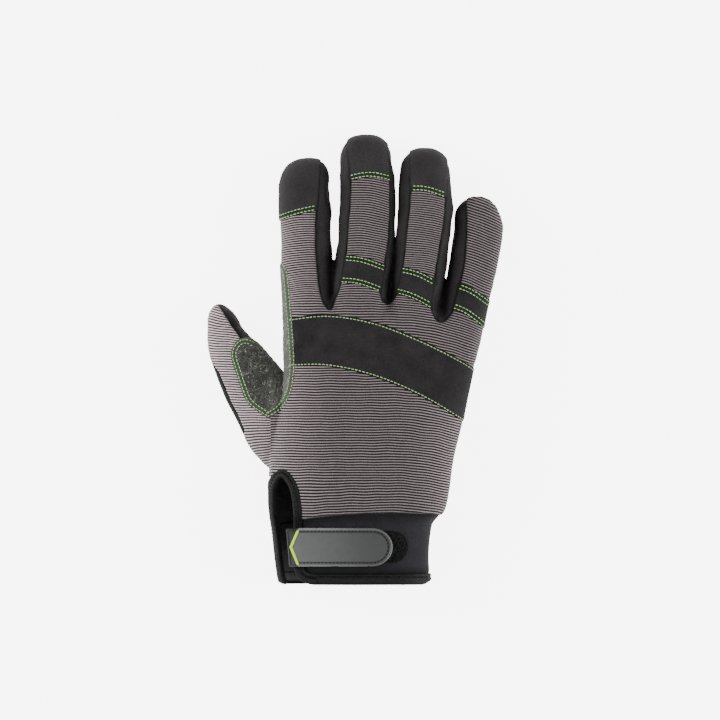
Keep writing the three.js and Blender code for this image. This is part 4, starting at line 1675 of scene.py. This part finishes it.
@dataclass
class Wrist:
    """The neoprene cuff, its folded hem and the rolled binding round the slit."""

    lines: Outlines
    hem_roll: float = 1.0
    binding_roll: float = 1.2
    # Rolls of tape: distance of the middle, and half the width
    hem_narrow: Point2 = (0.9, 0.95)
    hem_wide: Point2 = (2.2, 2.3)
    binding_lip: Point2 = (1.45, 1.5)
    binding_beside: Point2 = (3.75, 0.95)

    def build(self, tailor: Tailor, finishes: Finishes) -> None:
        """Cuts the three pieces."""
        hem_top = HEM_Y + HEM_WIDTH

        def open_slit(p: np.ndarray) -> np.ndarray:
            """Distance outside the slit with its binding, on the upper side of the glove."""
            beside = -within(self.lines.slit, p) - binding_width(p)
            below = np.where(p[:, 1] < hem_top + 1, p[:, 0] - BINDING_END_X, -CLEAR)
            return np.maximum.reduce([beside, SIDE_SEAM_Z - p[:, 2], below])

        cuff = Sewn(
            "cuff_neoprene", ("cuff",), "neoprene", 0.0, 1.7, 0.5, 1.6, (0.24, 0.034), 0.0058,
            pucker=0.15,
        )
        tailor.cut(
            cuff,
            lambda p: np.minimum.reduce(
                [cuff_top(p) - p[:, 1], p[:, 1] - hem_top, open_slit(p)]
            ),
            finishes.neoprene,
            relief=self.creases,
        )
        hem = Sewn(
            "cuff_hem_fold", ("cuff_hem",), "binding", 0.0, 2.2, 0.0, 1.0, (0.2, 0.01), 0.0015,
            held=Held.FOLDED, refine=1,
        )
        tailor.cut(
            hem,
            lambda p: np.minimum.reduce(
                [hem_top - p[:, 1], p[:, 1] - hem_end(p), open_slit(p)]
            ),
            finishes.binding,
            relief=lambda p, edge: self.hem_profile(hem_top - p[:, 1], p[:, 1] - hem_end(p)),
        )
        binding = Sewn(
            "slit_binding_roll", ("slit_binding",), "binding", 0.0, 2.0, 0.0, 1.0,
            (0.24, 0.01), 0.0018, held=Held.FOLDED, refine=2,
        )

        def band(p: np.ndarray) -> np.ndarray:
            """Distance inside the binding round the slit."""
            out = -within(self.lines.slit, p)
            sides = np.minimum(out - 0.05, binding_width(p) - out)
            ends = np.minimum(p[:, 1] - hem_end(p), BINDING_END_X - p[:, 0])
            return np.minimum.reduce([sides, ends, p[:, 2] - SIDE_SEAM_Z])

        tailor.cut(
            binding,
            band,
            finishes.binding,
            relief=lambda p, edge: self.binding_profile(
                -within(self.lines.slit, p) * SLIT_BINDING / binding_width(p)
            ),
        )

    @staticmethod
    def roll(across: np.ndarray, middle: float, radius: float, height: float) -> np.ndarray:
        """The height of a half-round roll of tape, from distances across it."""
        share = np.clip((across - middle) / radius, -1, 1)
        return height * np.sqrt(1 - share**2)

    def hem_profile(self, from_top: np.ndarray, from_end: np.ndarray) -> np.ndarray:
        """The folded hem: a narrow roll, a sewn groove and a wide roll to the open end."""
        narrow = self.roll(from_top, *self.hem_narrow, self.hem_roll * 0.9)
        wide = self.roll(np.minimum(from_end, self.hem_wide[0]), *self.hem_wide, self.hem_roll)
        wide *= reach(from_top, 1.6, 2.5)
        return np.maximum(narrow, wide)

    def binding_profile(self, out: np.ndarray) -> np.ndarray:
        """The binding round the slit: a fat roll at its lip and a narrow one beside it."""
        lip = self.roll(out, *self.binding_lip, self.binding_roll)
        beside = self.roll(out, *self.binding_beside, self.binding_roll * 0.6)
        return np.maximum(lip, beside)

    @staticmethod
    def creases(places: np.ndarray, edge: np.ndarray) -> np.ndarray:
        """Soft upright creases where the cuff draws in below the hand."""
        near_top = reach(places[:, 1], -104, -88)
        upright = ripple(places * np.array([1.0, 0.15, 1.0]), 13, 23)
        return 0.4 * upright * near_top * reach(edge, 0.3, 2.5)


@dataclass
class Closure:
    """The wrist closure: loop pad, strap, moulded tab and its accent line."""

    pad: Row = (-8.0, 28.5, 17.5)
    strap: Row = (-36.0, 17.0, 18.0)
    tab: Row = (-36.8, 20.0, 21.6)
    slant: float = 1.8
    tip_x: float = -34.6
    back_x: float = -30.9
    line_width: float = 1.15
    stitch_inset: float = 2.1
    # Share of painted shade in a groove along the tab's stitches
    groove_shade_share: float = 0.75
    line_height: float = 20.4

    @staticmethod
    def tongue(left: float, right: float, height: float, slant: float = 0.0) -> np.ndarray:
        """A tongue with a straight left end, slanted to its foot, and a round right end."""
        radius = height / 2
        middle = right - radius
        arc = [
            (middle + radius * math.cos(a), CLOSURE_Y + radius * math.sin(a))
            for a in np.linspace(-math.pi / 2, math.pi / 2, 25)
        ]
        return np.array([(left + slant, CLOSURE_Y - radius), *arc, (left, CLOSURE_Y + radius)])

    def build(self, tailor: Tailor, finishes: Finishes) -> None:
        """Cuts the four pieces."""
        jobs = (
            ("loop_pad_pile", "loops", self.pad, 1.2, 0.9, 0.3, (0.037, 0.018), 0.0006),
            ("closure_strap_tape", "binding", self.strap, 2.5, 1.1, 0.5, (0.054, 0.018), 0.00095),
            ("closure_tab_rubber", "rubber", self.tab, 4.3, 1.7, 0.7, (0.058, 0.022), 0.0012),
        )
        relief = {"rubber": self.tab_rim, "loops": self.loops}
        for name, slot, (left, right, high), height, thick, dive, flat, area in jobs:
            moulded = slot == "rubber"
            outline = self.tongue(left, right, high, self.slant if moulded else 0.0)
            piece = Sewn(
                name, (name.rpartition("_")[0],), slot, height, thick, dive, 0.7, flat, area,
                held=Held.LAID, refine=2, cloth=not moulded,
            )
            tailor.cut(
                piece,
                self.above_seam(outline),
                getattr(finishes, slot),
                relief=relief.get(slot),
                tint=(lambda p, n: self.darker(p)) if moulded else None,
            )
        half = self.line_height / 2
        chevron = np.array(
            [
                (self.back_x, CLOSURE_Y - half),
                (self.back_x + self.line_width, CLOSURE_Y - half),
                (self.tip_x + self.line_width, CLOSURE_Y),
                (self.back_x + self.line_width, CLOSURE_Y + half),
                (self.back_x, CLOSURE_Y + half),
                (self.tip_x, CLOSURE_Y),
            ]
        )
        line = Sewn(
            "tab_accent_line", ("tab_chevron",), "lime", 4.75, 0.6, 0.15, 0.4,
            (0.0235, 0.0101), 0.000075, held=Held.LAID, refine=3, cloth=False,
        )
        tailor.cut(line, self.above_seam(chevron), finishes.lime)

    @staticmethod
    def above_seam(outline: np.ndarray) -> Callable[[np.ndarray], np.ndarray]:
        """Distance inside an outline, on the upper side of the glove."""
        return lambda p: np.minimum(within(outline, p), p[:, 2] - SIDE_SEAM_Z)

    @staticmethod
    def tab_rim(_places: np.ndarray, edge: np.ndarray) -> np.ndarray:
        """The raised rim round the moulded tab."""
        return 0.45 * reach(edge, 0.0, 0.5) * (1 - reach(edge, 0.9, 1.5))

    @staticmethod
    def loops(places: np.ndarray, edge: np.ndarray) -> np.ndarray:
        """The tufts of the loop pad."""
        return 0.3 * ripple(places, 1.7, 37) * reach(edge, 0.2, 1.0)

    def darker(self, places: np.ndarray) -> np.ndarray:
        """Share of the darker tone: on the tab's left end, and painted shade in a groove along its
        stitches.
        """
        across = np.abs(places[:, 1] - CLOSURE_Y) / (self.line_height / 2)
        border = self.tip_x + (self.back_x - self.tip_x) * across
        beyond = 1 - reach(places[:, 0] - border, -0.2, 0.4)
        left, right, high = self.tab
        inset = within(self.tongue(left, right, high, self.slant), places)
        # Painted shade along the row of stitches
        groove_shade = (1 - reach(np.abs(inset - self.stitch_inset), 0.25, 0.6)) * self.groove_shade_share
        return np.maximum(beyond, groove_shade)


@dataclass
class Stitching:
    """Rows of stitches, each stitch a short round bead of thread lying on the cloth."""

    lines: Outlines
    pitch: float = 2.05
    length: float = 1.6
    thread: float = 0.54
    # How far its ends bend down and how high it lies, in threads and in millimetres
    bend: float = 0.35
    lift: float = 0.1
    # The slope of the cloth is taken over this length
    ahead: float = 0.4
    # No stitch lies on cloth steeper than this, as length on it for each length in plan, or
    # closer to the border of the area where it may be
    steepest: float = 7.0
    clearance: float = 0.35
    sky_z: float = 80.0
    corners: list[np.ndarray] = field(default_factory=list)
    faces: list[np.ndarray] = field(default_factory=list)
    bead: tuple[np.ndarray, np.ndarray] = field(init=False)

    def made_bead(self) -> tuple[np.ndarray, np.ndarray]:
        """One stitch, made once: a long bead along x with z up.

        Returns:
            Its corners in millimetres and its faces as triangles.
        """
        bpy.ops.object.select_all(action="DESELECT")
        bpy.ops.mesh.primitive_uv_sphere_add(segments=8, ring_count=6, radius=0.5)
        made = bpy.context.object
        bpy.ops.object.mode_set(mode="EDIT")
        bpy.ops.mesh.select_all(action="SELECT")
        centre = (0.0, 0.0, 0.0)
        bpy.ops.transform.rotate(value=math.pi / 2, orient_axis="Y", center_override=centre)
        bpy.ops.transform.resize(
            value=(self.length, self.thread, self.thread * 0.8), center_override=centre
        )
        bpy.ops.object.mode_set(mode="OBJECT")
        made.data.calc_loop_triangles()
        corners = np.array([v.co[:] for v in made.data.vertices])
        corners[:, 2] -= self.bend * (np.abs(corners[:, 0]) / self.length * 2) ** 2 * self.thread
        faces = np.array([t.vertices[:] for t in made.data.loop_triangles])
        bpy.data.objects.remove(made)
        return corners, faces

    def row(
        self,
        line: np.ndarray,
        offset: float,
        top: BVHTree,
        allowed: Callable[[np.ndarray], np.ndarray],
    ) -> None:
        """Lays one row of stitches beside a line.

        Args:
            line: The line in plan, left to right.
            offset: Distance to the left of the line's direction.
            top: The surface that the stitches lie on.
            allowed: Distance inside the area where stitches may be.
        """
        heading = np.gradient(line, axis=0)
        heading /= np.linalg.norm(heading, axis=1, keepdims=True)
        shifted = line + np.stack([-heading[:, 1], heading[:, 0]], axis=1) * offset
        run = np.concatenate([[0], np.cumsum(np.linalg.norm(np.diff(shifted, axis=0), axis=1))])
        bead_corners, bead_faces = self.bead
        place = self.pitch / 2
        while place < run[-1]:
            middle, ahead = (
                np.array([np.interp(place + more, run, shifted[:, k]) for k in (0, 1)])
                for more in (0.0, self.ahead)
            )
            hit, normal = self.drop(top, middle)
            hit_ahead, _ = self.drop(top, ahead)
            if hit is None or hit_ahead is None:
                place += self.pitch
                continue
            length = float(np.linalg.norm(hit_ahead - hit))
            steepness = length / self.ahead
            place += self.pitch / max(steepness, 1.0)
            if steepness > self.steepest or allowed(hit[None, :])[0] < self.clearance:
                continue
            x = (hit_ahead - hit) / length
            z = normal - x * (normal @ x)
            z /= np.linalg.norm(z)
            y = np.cross(z, x)
            placed = hit + bead_corners @ np.stack([x, y, z]) + z * self.lift
            first = sum(len(c) for c in self.corners)
            self.corners.append(placed)
            self.faces.append(bead_faces + first)

    def drop(
        self, top: BVHTree, place: np.ndarray
    ) -> tuple[np.ndarray | None, np.ndarray | None]:
        """The top surface under a place, and its normal."""
        above = Vector((place[0], place[1], self.sky_z))
        hit, normal, _, _ = top.ray_cast(above, Vector((0, 0, -1)))
        if hit is None:
            return None, None
        up = np.array(normal)
        return np.array(hit), up if up[2] > 0 else -up

    def finish_rows(self, name: str, material: bpy.types.Material) -> None:
        """Makes the rows laid so far into one object."""
        made = Tailor.object_from(name, np.vstack(self.corners), np.vstack(self.faces))
        select_only(made)
        bpy.ops.object.shade_smooth()
        made.data.materials.append(material)
        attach(made, "root")
        LOG.info("%s: %d stitches", name, len(self.corners))
        self.corners, self.faces = [], []

    def build(
        self, tailor: Tailor, finishes: Finishes, shell: Shell, overlays: Overlays, closure: Closure
    ) -> None:
        """Sews the lime rows and then the black ones."""
        self.bead = self.made_bead()
        top = tailor.top()
        back = shell.back_field
        self.row(along(overlays.strap_upper), -1.1, top, back)
        self.row(along(overlays.strap_lower), 1.1, top, back)
        for upper, lower in overlays.bands.values():
            for offset in (0.9, 2.9):
                self.row(along(upper), -offset, top, back)
                self.row(along(lower), offset, top, back)
        for border in overlays.caps.values():
            for offset in (0.9, 2.9):
                self.row(along(border), offset, top, back)
        for offset in (0.9, 2.8):
            self.row(self.lines.patch_border, offset, top, self.clear_of_floor)
        self.finish_rows("lime_stitches", finishes.lime_thread)
        left, right, high = closure.tab
        inset = closure.stitch_inset
        tab = closure.tongue(left + 5.5, right - inset, high - 2 * inset)
        self.row(tab, 0.0, top, self.clear_of_floor)
        groove_y = HEM_Y + HEM_WIDTH - 2.0
        groove = np.array([(BINDING_END_X, groove_y), (40.0, groove_y)])
        self.row(groove, 0.0, top, self.clear_of_floor)
        cover = closure.tongue(left, right, high)
        self.row(
            self.lines.slit, 2.95, top, lambda p: np.minimum(self.on_binding(p), -within(cover, p))
        )
        self.finish_rows("black_stitches", finishes.black_thread)

    @staticmethod
    def clear_of_floor(places: np.ndarray) -> np.ndarray:
        """Height over the palm's side, below which no stitch is laid."""
        return places[:, 2] - SIDE_SEAM_Z

    def on_binding(self, places: np.ndarray) -> np.ndarray:
        """Distance left of the place where the binding ends and the hem goes on."""
        return np.minimum(self.clear_of_floor(places), BINDING_END_X - places[:, 0])


@dataclass
class Studio:
    """A pale floor, soft lights and the photograph's camera."""

    centre: tuple[float, float] = (0.00316, -0.000515)
    height: float = 5.52
    lens: float = 500.0
    floor_size: float = 9.0
    floor_z: float = -0.0002
    # Glow of the floor: as a light, and as the camera sees it
    floor_glow: Point2 = (0.6, 6.0)
    air: float = 0.5
    lamp_size: float = 1.3

    def build(self) -> None:
        """Makes the stage."""
        bpy.ops.object.select_all(action="DESELECT")
        bpy.ops.mesh.primitive_plane_add(size=self.floor_size, location=(0, 0, self.floor_z))
        floor = bpy.context.object
        floor.name = "floor"
        bpy.ops.object.transform_apply(location=True)
        material = bpy.data.materials.new("pale_floor")
        material.use_nodes = True
        shader = material.node_tree.nodes["Principled BSDF"]
        shader.inputs["Base Color"].default_value = (0.93, 0.93, 0.93, 1)
        shader.inputs["Roughness"].default_value = 0.9
        shader.inputs["Emission Color"].default_value = (1, 1, 1, 1)
        # The floor looks white to the camera and lights the glove's sides less
        g = Graph(material.node_tree)
        seen = g.node("LightPath").outputs["Is Camera Ray"]
        g.feed(shader.inputs["Emission Strength"], g.spread(seen, (0.0, 1.0), self.floor_glow))
        floor.data.materials.append(material)
        self.lamp("left_softbox", (-1.5, 0.35, 0.7), 40)
        self.lamp("right_softbox", (1.5, -0.15, 0.7), 34)
        world = bpy.data.worlds.new("studio_air")
        world.use_nodes = True
        air = world.node_tree.nodes["Background"]
        air.inputs["Color"].default_value = (1, 1, 1, 1)
        air.inputs["Strength"].default_value = self.air
        bpy.context.scene.world = world
        lens = bpy.data.cameras.new("camera")
        lens.lens = self.lens
        lens.sensor_width = 36.0
        lens.clip_start = 0.1
        lens.clip_end = 20.0
        camera = bpy.data.objects.new("camera", lens)
        camera.location = (*self.centre, self.height)
        bpy.context.scene.collection.objects.link(camera)
        bpy.context.scene.camera = camera

    def lamp(self, name: str, place: tuple[float, float, float], power: float) -> None:
        """A large soft lamp that points at the glove."""
        data = bpy.data.lights.new(name, "AREA")
        data.shape = "DISK"
        data.size = self.lamp_size
        data.energy = power
        lamp = bpy.data.objects.new(name, data)
        lamp.location = place
        lamp.rotation_euler = (-Vector(place)).to_track_quat("-Z", "Y").to_euler()
        bpy.context.scene.collection.objects.link(lamp)


def main() -> None:
    """Builds the glove over the frame."""
    logging.basicConfig(level=logging.INFO, format="%(name)s: %(message)s")
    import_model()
    Studio().build()
    form = GloveForm()
    finishes = Finishes()
    lines = Outlines()
    tailor = Tailor(form.surface(1.0, 6))
    LOG.info("form: %d faces", len(tailor.form.triangles))
    shell = Shell(lines)
    shell.build(tailor, finishes)
    Lining().build(form, lines, finishes)
    overlays = Overlays(lines)
    overlays.build(tailor, finishes, shell)
    Wrist(lines).build(tailor, finishes)
    closure = Closure()
    closure.build(tailor, finishes)
    Stitching(lines).build(tailor, finishes, shell, overlays, closure)


if __name__ == "__main__":
    main()
